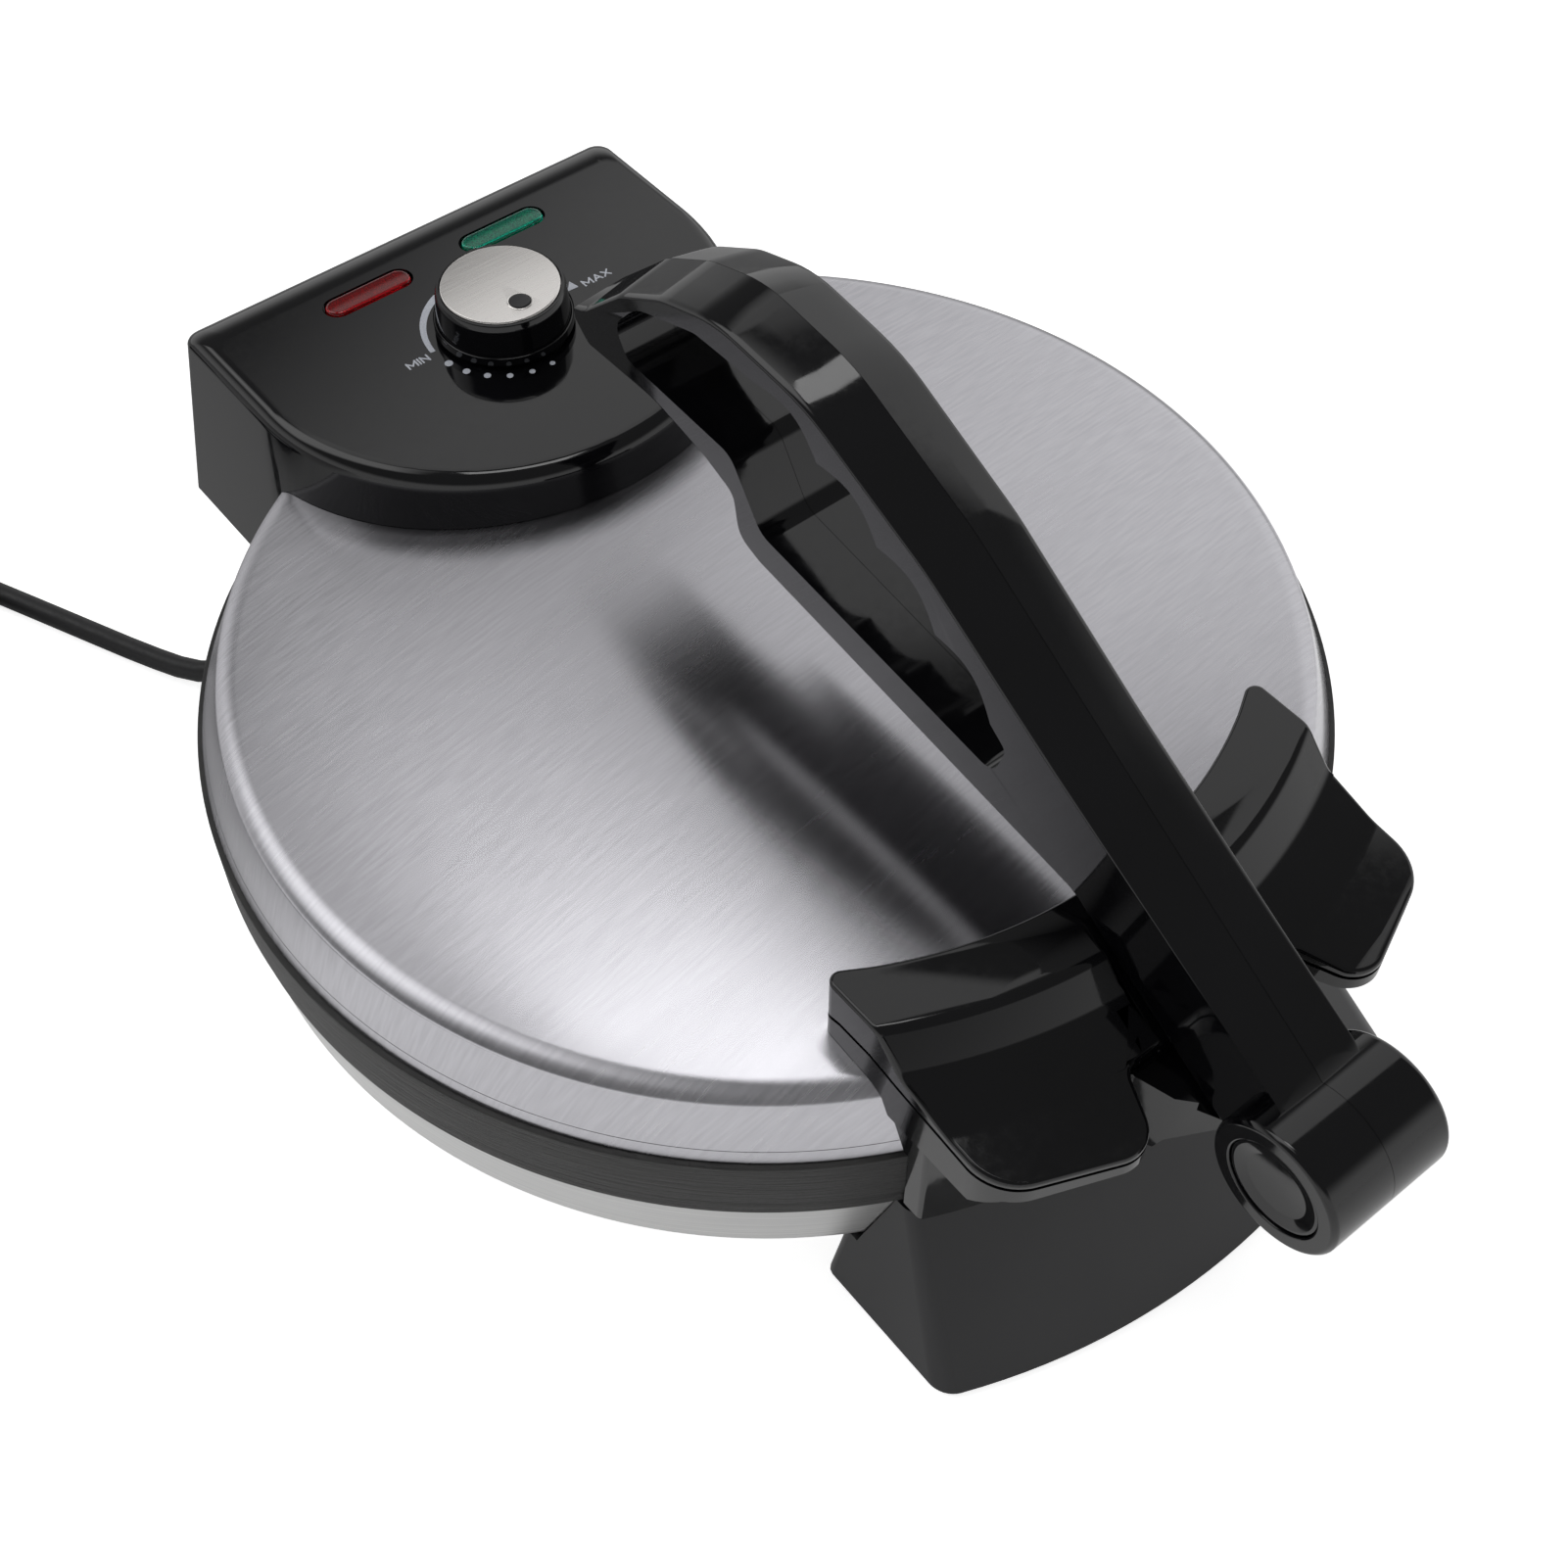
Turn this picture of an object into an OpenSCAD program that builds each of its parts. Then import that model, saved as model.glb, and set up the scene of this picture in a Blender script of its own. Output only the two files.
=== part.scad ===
// Electric roti maker: two round non-stick plates in a hinged body, with a domed steel lid,
// a control housing over the rear hinge and a fold-out press lever on the lid's front grip.
// Millimetres, +Z up, the front towards -Y, standing on the table at z = 0.

/* [Lid] */
// Diameter of the steel lid
lid_d = 320; // [300:1:340]
// Radius of the rounded shoulder of the lid
shoulder_r = 15; // [11:0.5:18]
// Rise of the lid's crown above its shoulder
crown_h = 9; // [6:0.5:12]
// Straight skirt below the shoulder
skirt_h = 4.5; // [3:0.5:8]
// Thickness of the steel sheet
sheet_t = 1; // [0.7:0.1:1.3]

/* [Plates] */
// Height of the upper plate's black rim
upper_rim_h = 18.3; // [15:0.5:20]
// Height of the lower plate's black rim
lower_rim_h = 6.7; // [6:0.1:9]
// How far the upper rim stands out past the lid
rim_proud = 1.6; // [1:0.1:2.2]
// How far the lower rim stands out past the lid
lower_proud = 0.6; // [0.2:0.1:1]
// Thickness of each plate's floor
plate_t = 6; // [5:0.5:8]
// Gap between the closed plates
plate_gap = 0.6; // [0.4:0.1:1]
// Diameter of the heating tubes
element_d = 6.6; // [5.6:0.2:7.6]
// Diameter of the ring that each heating tube makes
element_ring_d = 190; // [170:1:210]

/* [Base] */
// Height of the rubber feet that shows below the brackets
foot_h = 2; // [1.5:0.5:4]
// Diameter of the rubber feet
foot_d = 16; // [12:1:18]
// Height of the pan's floor above the table
base_gap = 19.2; // [17:0.2:24]
// Depth of the steel pan
pan_h = 24.3; // [21:0.1:30]
// How far the pan lies inside the lower rim
pan_inset = 1.3; // [0.8:0.1:2]
// How much the pan narrows towards its floor
pan_taper = 1.4; // [0.5:0.1:3]

/* [Front bracket] */
// Width of the bracket at the table
bracket_foot_w = 170; // [160:1:180]
// Width of the bracket at its upper edge
bracket_top_w = 144; // [136:1:150]
// Reach of the foot past the lid's edge
bracket_reach = 36.5; // [32:0.5:42]
// Radius of the foot's curved front
bracket_arc_r = 205; // [190:1:225]
// Wall of the bracket in front of the pan, at its upper edge
bracket_lip = 5; // [4:0.5:7]
// Distance from the foot's front to the bracket's back
bracket_depth = 65.5; // [60:0.5:72]

/* [Rear bracket] */
// Width of the rear bracket at the table
rear_foot_w = 124; // [118:1:130]
// Reach of the rear bracket behind the lid's edge
rear_reach = 10; // [8:0.5:11]
// Length of the rear bracket from front to back
rear_depth = 74; // [68:1:80]
// Width of each hinge ear
ear_w = 11; // [9:0.5:12]
// Distance between the outer faces of the hinge ears
ear_span = 115; // [112:1:117]

/* [Hinge] */
// Distance of the hinge axis behind the lid's edge
hinge_back = 16; // [15:0.5:17]
// Height of the hinge axis above the split between the plates
hinge_rise = 0.8; // [0:0.1:2]
// Diameter of the hinge rod
rod_d = 6; // [5:0.5:6.5]
// Running clearance between a rod and its bore, on the radius
run_clear = 0.05; // [0.03:0.01:0.08]
// Outer diameter of the knuckles
knuckle_d = 14; // [13:0.5:15]

/* [Control housing] */
// Width of the housing at its top
housing_w = 155; // [150:1:160]
// Distance of the housing's rear face behind the lid's edge, at the top
housing_back = 25; // [24:0.5:28]
// Rise of the housing's top above the lid's shoulder
housing_rise = 23.3; // [22:0.1:26]
// Height of the housing from its top to its lower edge
housing_h = 67.8; // [65:0.1:69]
// How much the housing widens towards its lower edge, on each side
housing_draft = 5.5; // [3:0.5:6]
// How far the housing's lower edge reaches back behind its upper edge
housing_rear_draft = 8; // [5:0.5:9]
// Wall thickness of the housing
housing_wall = 2.5; // [2:0.1:3]
// Radius of the housing's upper edge
housing_edge_r = 6; // [5:0.5:8]
// Depth of the wider rounding along the housing's rear edge
housing_rear_edge = 14; // [8:1:16]
// Radius of the housing's rear corners at the top
housing_corner_r = 5; // [4:0.5:8]

/* [Controls] */
// Diameter of the knob
knob_d = 42; // [38:0.5:46]
// Height of the knob
knob_h = 14.5; // [12:0.5:18]
// Diameter of the steel disc on the knob
disc_d = 35.6; // [32:0.2:37]
// Diameter of the pip that shows through the disc
pip_d = 6.2; // [4:0.2:7]
// Distance from the knob's axis to its pip
pip_off = 10.3; // [9:0.1:12]
// Distance of the knob's axis behind the lid's centre
knob_y = 125.5; // [123:0.5:128]
// Diameter of the thermostat's shaft
shaft_d = 6; // [5:0.5:6.5]
// Length of the lamp lenses
lens_l = 29; // [26:0.5:32]
// Width of the lamp lenses
lens_w = 8; // [7:0.5:10]
// Distance between the centres of the two lenses
lens_pitch = 49; // [46:1:54]
// Distance of the lenses behind the lid's centre
lens_y = 163; // [162:0.5:166]

/* [Front grip] */
// Width across the two grip wings
grip_w = 146; // [140:1:150]
// Reach of the wings past the lid's edge
grip_reach = 30; // [27:0.5:33]
// Depth of the wings from front to back on the lid
grip_depth = 79.5; // [76:0.5:84]
// Height of the wings' upper step above the lid's shoulder
grip_rise = 24; // [22:0.5:26]
// Width of the gap between the two wings
grip_gap = 55; // [52:1:60]
// Thickness of the apron in front of the lid
apron_t = 5.4; // [4:0.2:6]
// Length of the apron below the split between the plates
apron_drop = 7; // [5:0.5:8]

/* [Lever] */
// Distance of the lever's pivot in front of the lid's edge
pivot_reach = 51; // [50:0.5:53]
// Height of the lever's pivot above the lid's shoulder
pivot_rise = 0.5; // [0:0.5:2]
// Diameter of the lever's barrel
barrel_d = 37.6; // [36:0.2:39]
// Length of the lever's barrel
barrel_l = 40; // [38:0.5:44]
// Length of the lever from its pivot to its tip
lever_l = 271; // [262:1:280]
// Height of the lever's crest above its pivot
lever_crest = 117.5; // [114:0.5:122]
// Width of the lever at its tip
lever_tip_w = 32.4; // [30:0.2:36]
// Width of the lever at its pivot
lever_root_w = 26.4; // [25:0.2:28]
// Diameter of the lever's pivot pin
pin_d = 8; // [7:0.5:9]
// Number of finger grooves in the lever's loop
finger_grooves = 4; // [3:1:5]
// Depth of the finger grooves
groove_depth = 4.6; // [2:0.2:6]

/* [Mains lead] */
// Diameter of the mains lead
cord_d = 7.2; // [6.8:0.1:7.4]
// Length of the strain relief
relief_l = 25; // [25:1:26]

/* [Hidden] */
$fn = 96;
seat = 0.2;
tiny = 0.01;
screw_d = 4;
screw_head_d = 8;
screw_head_h = 2.5;
screw_clear = 0.1;
lid_r = lid_d / 2;
pan_r = lid_r + lower_proud - pan_inset;
pan_top = base_gap + pan_h;
split_z = pan_top + lower_rim_h;
skirt_z = split_z + upper_rim_h;
bend_z = skirt_z + skirt_h;
shoulder_z = bend_z + shoulder_r;
crown_z = shoulder_z + crown_h;
rim_r = lid_r + rim_proud;
lower_r = lid_r + lower_proud;
bend_r = lid_r - shoulder_r;
crown_u = (bend_r * bend_r - crown_h * crown_h) / (2 * crown_h);
crown_r = crown_u + crown_h + shoulder_r;
crown_a = asin(bend_r / (crown_r - shoulder_r));
housing_half = housing_w / 2;
housing_rear = lid_r + housing_back;
housing_top = shoulder_z + housing_rise;
housing_foot = housing_top - housing_h;
housing_arc_y = housing_rear - 46.5;
hinge_y = lid_r + hinge_back;
hinge_z = split_z + hinge_rise;
pivot_y = -(lid_r + pivot_reach);
pivot_z = shoulder_z + pivot_rise;
barrel_r = barrel_d / 2;
front_reach = -pivot_y + barrel_r;
rear_reach_all = housing_rear + housing_rear_draft;
lid_y = (front_reach - rear_reach_all) / 2;
bracket_top = pan_top - 1.5;
bracket_front = lid_r + bracket_reach;
rear_face = lid_r + rear_reach;
grip_front = lid_r + grip_reach;
grip_back = grip_front - grip_depth + 22;
apron_r = rim_r + seat + apron_t;
lever_drop = 36;
cavity_r = 15;
ear_half = 9.8;
ear_play = 0.4;

// Plain helpers for outlines
function unit(v) = v / norm(v);
function arc(centre, r, a0, a1, n) =
    [for (k = [0:n]) centre + r * [cos(a0 + (a1 - a0) * k / n), sin(a0 + (a1 - a0) * k / n)]];
function corner(a, b, c, r, step = 18) =
    let (u = unit(a - b), v = unit(c - b), half = acos(u * v) / 2, reach = r / tan(half),
        p = b + u * reach, q = b + v * reach, m = b + unit(u + v) * r / sin(half),
        a0 = atan2(p[1] - m[1], p[0] - m[0]), a1 = atan2(q[1] - m[1], q[0] - m[0]),
        turn = (a1 - a0 + 540) % 360 - 180, n = ceil(abs(turn) / step))
    [for (k = [0:n]) m + r * [cos(a0 + turn * k / n), sin(a0 + turn * k / n)]];
function rounded(p, radii, step = 18) =
    [for (i = [0:len(p) - 1])
        each (radii[i] > 0 ?
            corner(p[(i + len(p) - 1) % len(p)], p[i], p[(i + 1) % len(p)], radii[i], step) :
            [p[i]])];

// Height of the lid's outer skin at a distance from its centre
function lid_z(r) = r < bend_r + shoulder_r * sin(crown_a) ?
    crown_z - crown_r + sqrt(crown_r * crown_r - r * r) :
    bend_z + sqrt(max(shoulder_r * shoulder_r - (r - bend_r) * (r - bend_r), 0));

// Outer line of the lid from its centre to its skirt, moved out by grow
function lid_line(grow) = concat(
    [for (k = [0:8]) let (a = crown_a * k / 8)
        [(crown_r + grow) * sin(a), crown_z - crown_r + (crown_r + grow) * cos(a)]],
    [for (k = [1:10]) let (a = 90 - crown_a - (90 - crown_a) * k / 10)
        [bend_r + (shoulder_r + grow) * cos(a), bend_z + (shoulder_r + grow) * sin(a)]]);

module on_lid_axis() {
    translate([0, lid_y, 0])
        children();
}

// Everything that the lid and the base fill, for cutting the pieces that wrap them
module lid_space() {
    rotate_extrude()
        polygon(concat([[0, 0]], lid_line(seat),
            [[lid_r + seat, skirt_z + seat], [rim_r + seat, skirt_z + seat], [rim_r + seat, 0]]));
}

module screw(length) {
    cylinder(d = screw_d, h = length);
    translate([0, 0, -screw_head_h])
        cylinder(d = screw_head_d, h = screw_head_h);
}

// Front edge, height and sheet of the hinge frame's seat on the lid
frame_front = bend_r - 45;
frame_seat_z = lid_z(frame_front) + seat;
frame_t = 2.5;

// Places of the fasteners, seen from above
plate_posts = [for (a = [30, 150, 270]) 60 * [cos(a), sin(a)]];
front_screw_y = -(bracket_front - bracket_depth) - 11;
rear_screw_y = rear_face - rear_depth + 12;
bracket_points = [[-44, front_screw_y], [44, front_screw_y], [-36, rear_screw_y], [36, rear_screw_y]];
foot_points = [for (x = [-1, 1]) [x * (bracket_foot_w / 2 - 20), -(bracket_front - 42)],
    for (x = [-1, 1]) [x * (rear_foot_w / 2 - 14), rear_face - 14]];
grip_points = [[-38, -(bend_r - 3)], [38, -(bend_r - 3)]];
frame_points = [[-34, frame_front + 12], [34, frame_front + 12]];

/* Base */

module base_pan() {
    r0 = pan_r - pan_taper;
    color([0.8, 0.8, 0.79]) on_lid_axis() difference() {
        rotate_extrude()
            polygon(concat([[0, base_gap]],
                arc([r0 - 6, base_gap + 6], 6, -90, -4, 6),
                [[pan_r, pan_top], [pan_r - sheet_t, pan_top]],
                arc([r0 - 6, base_gap + 6], 6 - sheet_t, -4, -90, 6),
                [[0, base_gap + sheet_t]]));
        for (p = plate_posts)
            translate([p[0], p[1], 0])
                cylinder(d = screw_d + 2 * screw_clear, h = pan_top);
        for (p = bracket_points)
            translate([p[0], p[1], 0])
                cylinder(d = screw_d + 2 * screw_clear, h = pan_top);
        translate([0, rear_screw_y + 14, 0])
            cylinder(d = 16, h = pan_top);
    }
}

module lower_plate() {
    top = split_z - plate_gap / 2;
    color([0.13, 0.13, 0.13]) on_lid_axis() difference() {
        union() {
            rotate_extrude()
                polygon([[0, top - plate_t], [pan_r - sheet_t - seat, top - plate_t],
                    [pan_r - sheet_t - seat, pan_top], [lower_r - 0.6, pan_top],
                    [lower_r, pan_top + 0.6], [lower_r, top - 1], [lower_r - 1, top], [0, top]]);
            for (p = plate_posts)
                translate([p[0], p[1], base_gap + sheet_t])
                    cylinder(d = 12, h = top - plate_t - base_gap - sheet_t + 1);
        }
        for (p = plate_posts)
            translate([p[0], p[1], base_gap])
                cylinder(d = screw_d + 2 * screw_clear, h = 14);
        rotate_extrude()
            translate([element_ring_d / 2, top - plate_t - element_d / 2 + 2])
                circle(d = element_d + 2 * seat);
    }
}

// A round heating tube, not quite closed, with its two cold ends at z = 0 upwards
module heating_tube(end_l) {
    rotate([0, 0, 10])
        rotate_extrude(angle = 340)
            translate([element_ring_d / 2, 0])
                circle(d = element_d);
    for (a = [10, 350])
        rotate([0, 0, a])
            translate([element_ring_d / 2, 0, 0]) {
                sphere(d = element_d);
                cylinder(d = element_d, h = end_l);
            }
}

module lower_element() {
    color([0.45, 0.44, 0.42]) on_lid_axis()
        translate([0, 0, split_z - plate_gap / 2 - plate_t - element_d / 2 + 2])
            rotate([180, 0, 90])
                heating_tube(12);
}

module plate_screws() {
    color([0.7, 0.7, 0.7]) on_lid_axis()
        for (p = plate_posts)
            translate([p[0], p[1], base_gap])
                screw(13);
}

// Plan of the front bracket: straight sides and a curved front
function front_plan(half, front, r, back, edge_r) =
    let (cy = r - front, a = asin(half / r),
        line = arc([0, cy], r, 270 - a, 270 + a, 12))
    rounded(concat(line, [[half, -back], [-half, -back]]),
        concat([edge_r], [for (k = [1:11]) 0], [edge_r, 3, 3]), 22);

module front_bracket() {
    back = bracket_front - bracket_depth;
    top_r = pan_r + bracket_lip;
    wall = 4;
    deck = base_gap - wall;
    color([0.1, 0.1, 0.11]) on_lid_axis() difference() {
        union() {
            difference() {
                hull() {
                    translate([0, 0, foot_h])
                        linear_extrude(height = tiny)
                            polygon(front_plan(bracket_foot_w / 2, bracket_front, bracket_arc_r,
                                back, 8));
                    translate([0, 0, bracket_top - tiny])
                        linear_extrude(height = tiny)
                            polygon(front_plan(bracket_top_w / 2, top_r, top_r, back, 5));
                }
                translate([0, 0, foot_h - 1])
                    linear_extrude(height = deck - foot_h + 1)
                        polygon(front_plan(bracket_top_w / 2, bracket_front - 16,
                            bracket_arc_r - 16, back + 5, 4));
            }
            for (k = [0, 1])
                translate([foot_points[k][0], foot_points[k][1], foot_h])
                    cylinder(d = foot_d, h = deck - foot_h + 1);
        }
        translate([0, 0, base_gap])
            cylinder(r = pan_r - pan_taper + 0.1, h = 6);
        rotate_extrude()
            polygon([[0, base_gap + 3], [pan_r - pan_taper + 0.2, base_gap + 3],
                [pan_r + 0.2, pan_top], [0, pan_top]]);
        for (k = [0, 1])
            translate([bracket_points[k][0], bracket_points[k][1], 0])
                cylinder(d = screw_d + 2 * screw_clear, h = pan_top);
        for (k = [0, 1])
            translate([foot_points[k][0], foot_points[k][1], 0])
                cylinder(d = 6.2, h = foot_h + 8);
    }
}

// Plan of the rear bracket
function rear_plan(half, back, front) =
    rounded([[-half, front], [half, front], [half, back], [-half, back]], [3, 3, 8, 8], 22);

module rear_bracket() {
    front = rear_face - rear_depth;
    wall = 4;
    deck = base_gap - wall;
    half = rear_foot_w / 2;
    color([0.1, 0.1, 0.11]) on_lid_axis() difference() {
        union() {
            difference() {
                hull() {
                    translate([0, 0, foot_h])
                        linear_extrude(height = tiny)
                            polygon(rear_plan(half, rear_face, front));
                    translate([0, 0, base_gap + 7])
                        linear_extrude(height = tiny)
                            polygon(rear_plan(half - 3, rear_face - 2, front));
                }
                translate([0, 0, foot_h - 1])
                    linear_extrude(height = deck - foot_h + 1)
                        polygon(rear_plan(half - 8, rear_face - 7, front + 5));
            }
            for (k = [2, 3])
                translate([foot_points[k][0], foot_points[k][1], foot_h])
                    cylinder(d = foot_d, h = deck - foot_h + 1);
            for (side = [-1, 1])
                translate([side * (ear_span / 2 - ear_w / 2), 0, 0])
                    hinge_ear();
        }
        translate([0, 0, base_gap])
            cylinder(r = pan_r + 0.2, h = pan_top);
        translate([0, hinge_y, hinge_z])
            rotate([0, 90, 0])
                cylinder(d = rod_d, h = ear_span + 2, center = true);
        for (k = [2, 3])
            translate([bracket_points[k][0], bracket_points[k][1], 0])
                cylinder(d = screw_d + 2 * screw_clear, h = pan_top);
        for (k = [2, 3])
            translate([foot_points[k][0], foot_points[k][1], 0])
                cylinder(d = 6.2, h = foot_h + 8);
        translate([0, rear_screw_y + 14, foot_h])
            cylinder(d = 16, h = pan_top);
        translate([-half, exit_y - lid_y, exit_z])
            rotate([0, 90, 0])
                cylinder(d = relief_neck_d + 2 * seat, h = 16, center = true);
    }
}

// One ear: a round eye for the rod on a leg that leans forward into the bracket
module hinge_ear() {
    eye = knuckle_d / 2;
    translate([-ear_w / 2, 0, 0])
        rotate([90, 0, 90])
            linear_extrude(height = ear_w)
                polygon(concat(
                    arc([hinge_y, hinge_z], eye, -50, 150, 14),
                    [[hinge_y - 18, base_gap + 22], [hinge_y - 24, base_gap + 6],
                        [rear_face - 6, base_gap + 6], [rear_face - 6, base_gap + 10]]));
}

module bracket_screws() {
    color([0.7, 0.7, 0.7]) on_lid_axis()
        for (p = bracket_points)
            translate([p[0], p[1], base_gap - 4])
                screw(8);
}

module rubber_feet() {
    color([0.16, 0.16, 0.16]) on_lid_axis()
        for (p = foot_points)
            translate([p[0], p[1], 0]) {
                rotate_extrude()
                    polygon([[0, 0], [foot_d / 2 - 1.2, 0], [foot_d / 2, 1], [foot_d / 2, foot_h],
                        [0, foot_h]]);
                cylinder(d = 6, h = foot_h + 7);
            }
}

// Ceramic block that joins the mains lead to the inner wires
module terminal_block() {
    block = [34, 16, 10];
    color([0.93, 0.91, 0.86]) on_lid_axis() difference() {
        translate([-block[0] / 2, 58, base_gap + sheet_t])
            cube(block);
        for (x = [-11, 0, 11])
            translate([x, 66, base_gap + sheet_t + 4])
                cylinder(d = 5, h = 8);
    }
}

module hinge_rod() {
    color([0.75, 0.75, 0.76]) on_lid_axis()
        translate([0, hinge_y, hinge_z])
            rotate([0, 90, 0]) {
                cylinder(d = rod_d - 2 * run_clear, h = ear_span, center = true);
                for (side = [-1, 1])
                    translate([0, 0, side * (ear_span / 2 + 0.75)])
                        cylinder(d = rod_d + 3, h = 1.5, center = true);
            }
}

/* Mains lead */

// Where the lead leaves the rear bracket's left side
exit_y = lid_y + rear_face - 28.4;
exit_z = 11;
relief_x = -(rear_foot_w / 2 - 4);
relief_neck_d = 11;
// Route of the lead from the strain relief to the coil
cord_route = [[-83, 160, 11], [-90, 160.3, 10.6], [-98, 162.3, 9.6], [-106, 167, 8], [-112, 173.6, 6.2],
    [-115.8, 180.5, 4.9], [-119.5, 188.6, 4.1], [-124.3, 199, 3.8], [-129.1, 209.6, 3.8],
    [-133.6, 219.6, 3.8], [-138.2, 229.8, 3.8], [-142.6, 239.5, 3.8], [-147.2, 249.6, 3.8],
    [-151.6, 259.2, 3.8], [-156.2, 269.4, 3.8], [-160.8, 279.4, 3.8], [-165.1, 289, 3.8]];
cord_move = [relief_x - relief_l - cord_route[0][0], exit_y - cord_route[0][1], 0];
coil_centre = [-208.6, 269.2];
coil_a = 24.5;
coil_mid_r = 40;
coil_turns = 4;
coil_pitch = 7.8;
coil_steps = 24;
tail = [[-170, 299.5, 12], [-175.6, 311.7, 14.8], [-181, 323.4, 17.6], [-184.4, 330.9, 18.6],
    [-187.6, 337.9, 18.7]];

function cord_side(t) = unit(cross(t, [0, 0, 1]));
function ring(c, t, r, n) =
    let (s = cord_side(t), u = cross(s, t))
    [for (k = [0:n - 1]) c + r * (cos(360 * k / n) * s + sin(360 * k / n) * u)];
function heading(p, i) = unit(p[min(i + 1, len(p) - 1)] - p[max(i - 1, 0)]);

// A tube along the points p, closed at both ends
module tube(p, r, n) {
    rings = len(p);
    pts = [for (i = [0:rings - 1]) each ring(p[i], heading(p, i), r, n)];
    sides = [for (i = [0:rings - 2]) for (k = [0:n - 1]) let (m = (k + 1) % n)
        each [[i * n + k, (i + 1) * n + k, (i + 1) * n + m], [i * n + k, (i + 1) * n + m, i * n + m]]];
    caps = [[for (k = [0:n - 1]) k], [for (k = [n - 1:-1:0]) (rings - 1) * n + k]];
    polyhedron(points = pts, faces = concat(sides, caps), convexity = 8);
}

// The coil spirals in on the table, climbs a layer and spirals out on top
function coil_rise(t) = t < 0.25 ? 0 : t > 0.75 ? 1 : 0.5 - 0.5 * cos((t - 0.25) * 360);
function coil_point(t) =
    let (half = coil_turns / 2, r = coil_mid_r + coil_pitch * (abs(t - half) - half / 2),
        a = coil_a + 360 * t)
    [coil_centre[0] + r * cos(a), coil_centre[1] + r * sin(a),
        cord_route[len(cord_route) - 1][2] + coil_pitch * coil_rise(t - half + 0.5)];
coil_path = concat([for (k = [0:coil_turns * coil_steps]) coil_point(k / coil_steps)], tail);
coil_gap = min([for (i = [0:4:len(coil_path) - 1]) for (j = [i + 12:3:len(coil_path) - 1])
    norm(coil_path[i] - coil_path[j])]) - cord_d;
echo(coil_gap = coil_gap);

module strain_relief() {
    wide = relief_neck_d + 3;
    color([0.07, 0.07, 0.07])
        translate([relief_x, exit_y, exit_z])
            rotate([0, -90, 0])
                rotate_extrude()
                    polygon([[0, -3.8], [relief_neck_d / 2, -3.8], [relief_neck_d / 2, 4.1],
                        [wide / 2, 4.1], [wide / 2, 6], [relief_neck_d / 2, 7], [relief_neck_d / 2, 9],
                        [relief_neck_d / 2 - 0.7, 9.6], [relief_neck_d / 2 - 0.4, 12],
                        [relief_neck_d / 2 - 1.1, 12.6], [relief_neck_d / 2 - 0.8, 15],
                        [relief_neck_d / 2 - 1.5, 15.6], [relief_neck_d / 2 - 1.2, 18],
                        [cord_d / 2 + 0.5, 18.6], [cord_d / 2 + 0.4, relief_l], [0, relief_l]]);
}

module cord() {
    color([0.06, 0.06, 0.06]) translate(cord_move)
        tube(cord_route, cord_d / 2, 10);
}

module cord_coil() {
    color([0.06, 0.06, 0.06]) translate(cord_move)
        tube(coil_path, cord_d / 2, 6);
}

plug_dir = unit(tail[4] - tail[3]);
plug_a = atan2(plug_dir[1], plug_dir[0]);

module at_plug() {
    translate(tail[4] + cord_move)
        rotate([0, 0, plug_a])
            rotate([0, 90, 0])
                children();
}

module plug() {
    face_r = 18.4;
    color([0.07, 0.07, 0.07])
        at_plug() difference() {
            rotate_extrude()
                polygon([[0, 0], [4.6, 0], [5.4, 12], [9, 16], [13, 18], [16.5, 22], [17, 27],
                    [face_r, 29], [face_r, 38], [face_r - 1, 39], [0, 39]]);
            for (side = [-1, 1])
                translate([side * face_r, 0, 34])
                    cube([5, 7, 14], center = true);
            for (side = [-1, 1])
                translate([0, side * 9.5, 25])
                    cylinder(d = 4.8, h = 15);
        }
}

module plug_pins() {
    color([0.78, 0.77, 0.72])
        at_plug()
            for (side = [-1, 1])
                translate([0, side * 9.5, 25])
                    rotate_extrude()
                        polygon([[0, 0], [2.4, 0], [2.4, 31.6], [1.4, 33], [0, 33]]);
}

/* Lid */

module lid_cover() {
    color([0.83, 0.83, 0.82]) on_lid_axis() difference() {
        rotate_extrude()
            polygon(concat(lid_line(0), [[lid_r, skirt_z], [lid_r - sheet_t, skirt_z]],
                [for (k = [18:-1:0]) lid_line(-sheet_t)[k]]));
        for (p = concat(grip_points, frame_points))
            translate([p[0], p[1], bend_z])
                cylinder(d = screw_d + 2 * screw_clear, h = 60);
        translate([0, knob_y + 22, bend_z])
            cylinder(d = 12, h = 60);
    }
}

function post_top(p) = lid_z(norm(p) + 5) - sheet_t - 0.4;

module upper_plate() {
    floor_z = split_z + plate_gap / 2;
    inner = lid_r - sheet_t - seat;
    color([0.13, 0.13, 0.13]) on_lid_axis() difference() {
        union() {
            rotate_extrude()
                polygon([[0, floor_z], [rim_r - 1, floor_z], [rim_r, floor_z + 1],
                    [rim_r, skirt_z - 0.5], [rim_r - 0.5, skirt_z], [inner, skirt_z],
                    [inner, skirt_z + 4], [inner - 3.4, skirt_z + 4], [inner - 3.4, floor_z + plate_t],
                    [0, floor_z + plate_t]]);
            for (p = concat(grip_points, frame_points))
                translate([p[0], p[1], floor_z + 1])
                    cylinder(d = 10, h = post_top(p) - floor_z - 1);
        }
        for (p = concat(grip_points, frame_points))
            translate([p[0], p[1], post_top(p) - 16])
                cylinder(d = screw_d + 2 * screw_clear, h = 20);
        rotate_extrude()
            translate([element_ring_d / 2, floor_z + plate_t + element_d / 2 - 2])
                circle(d = element_d + 2 * seat);
    }
}

module upper_element() {
    color([0.45, 0.44, 0.42]) on_lid_axis()
        translate([0, 0, split_z + plate_gap / 2 + plate_t + element_d / 2 - 2])
            rotate([0, 0, 90])
                heating_tube(14);
}

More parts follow.
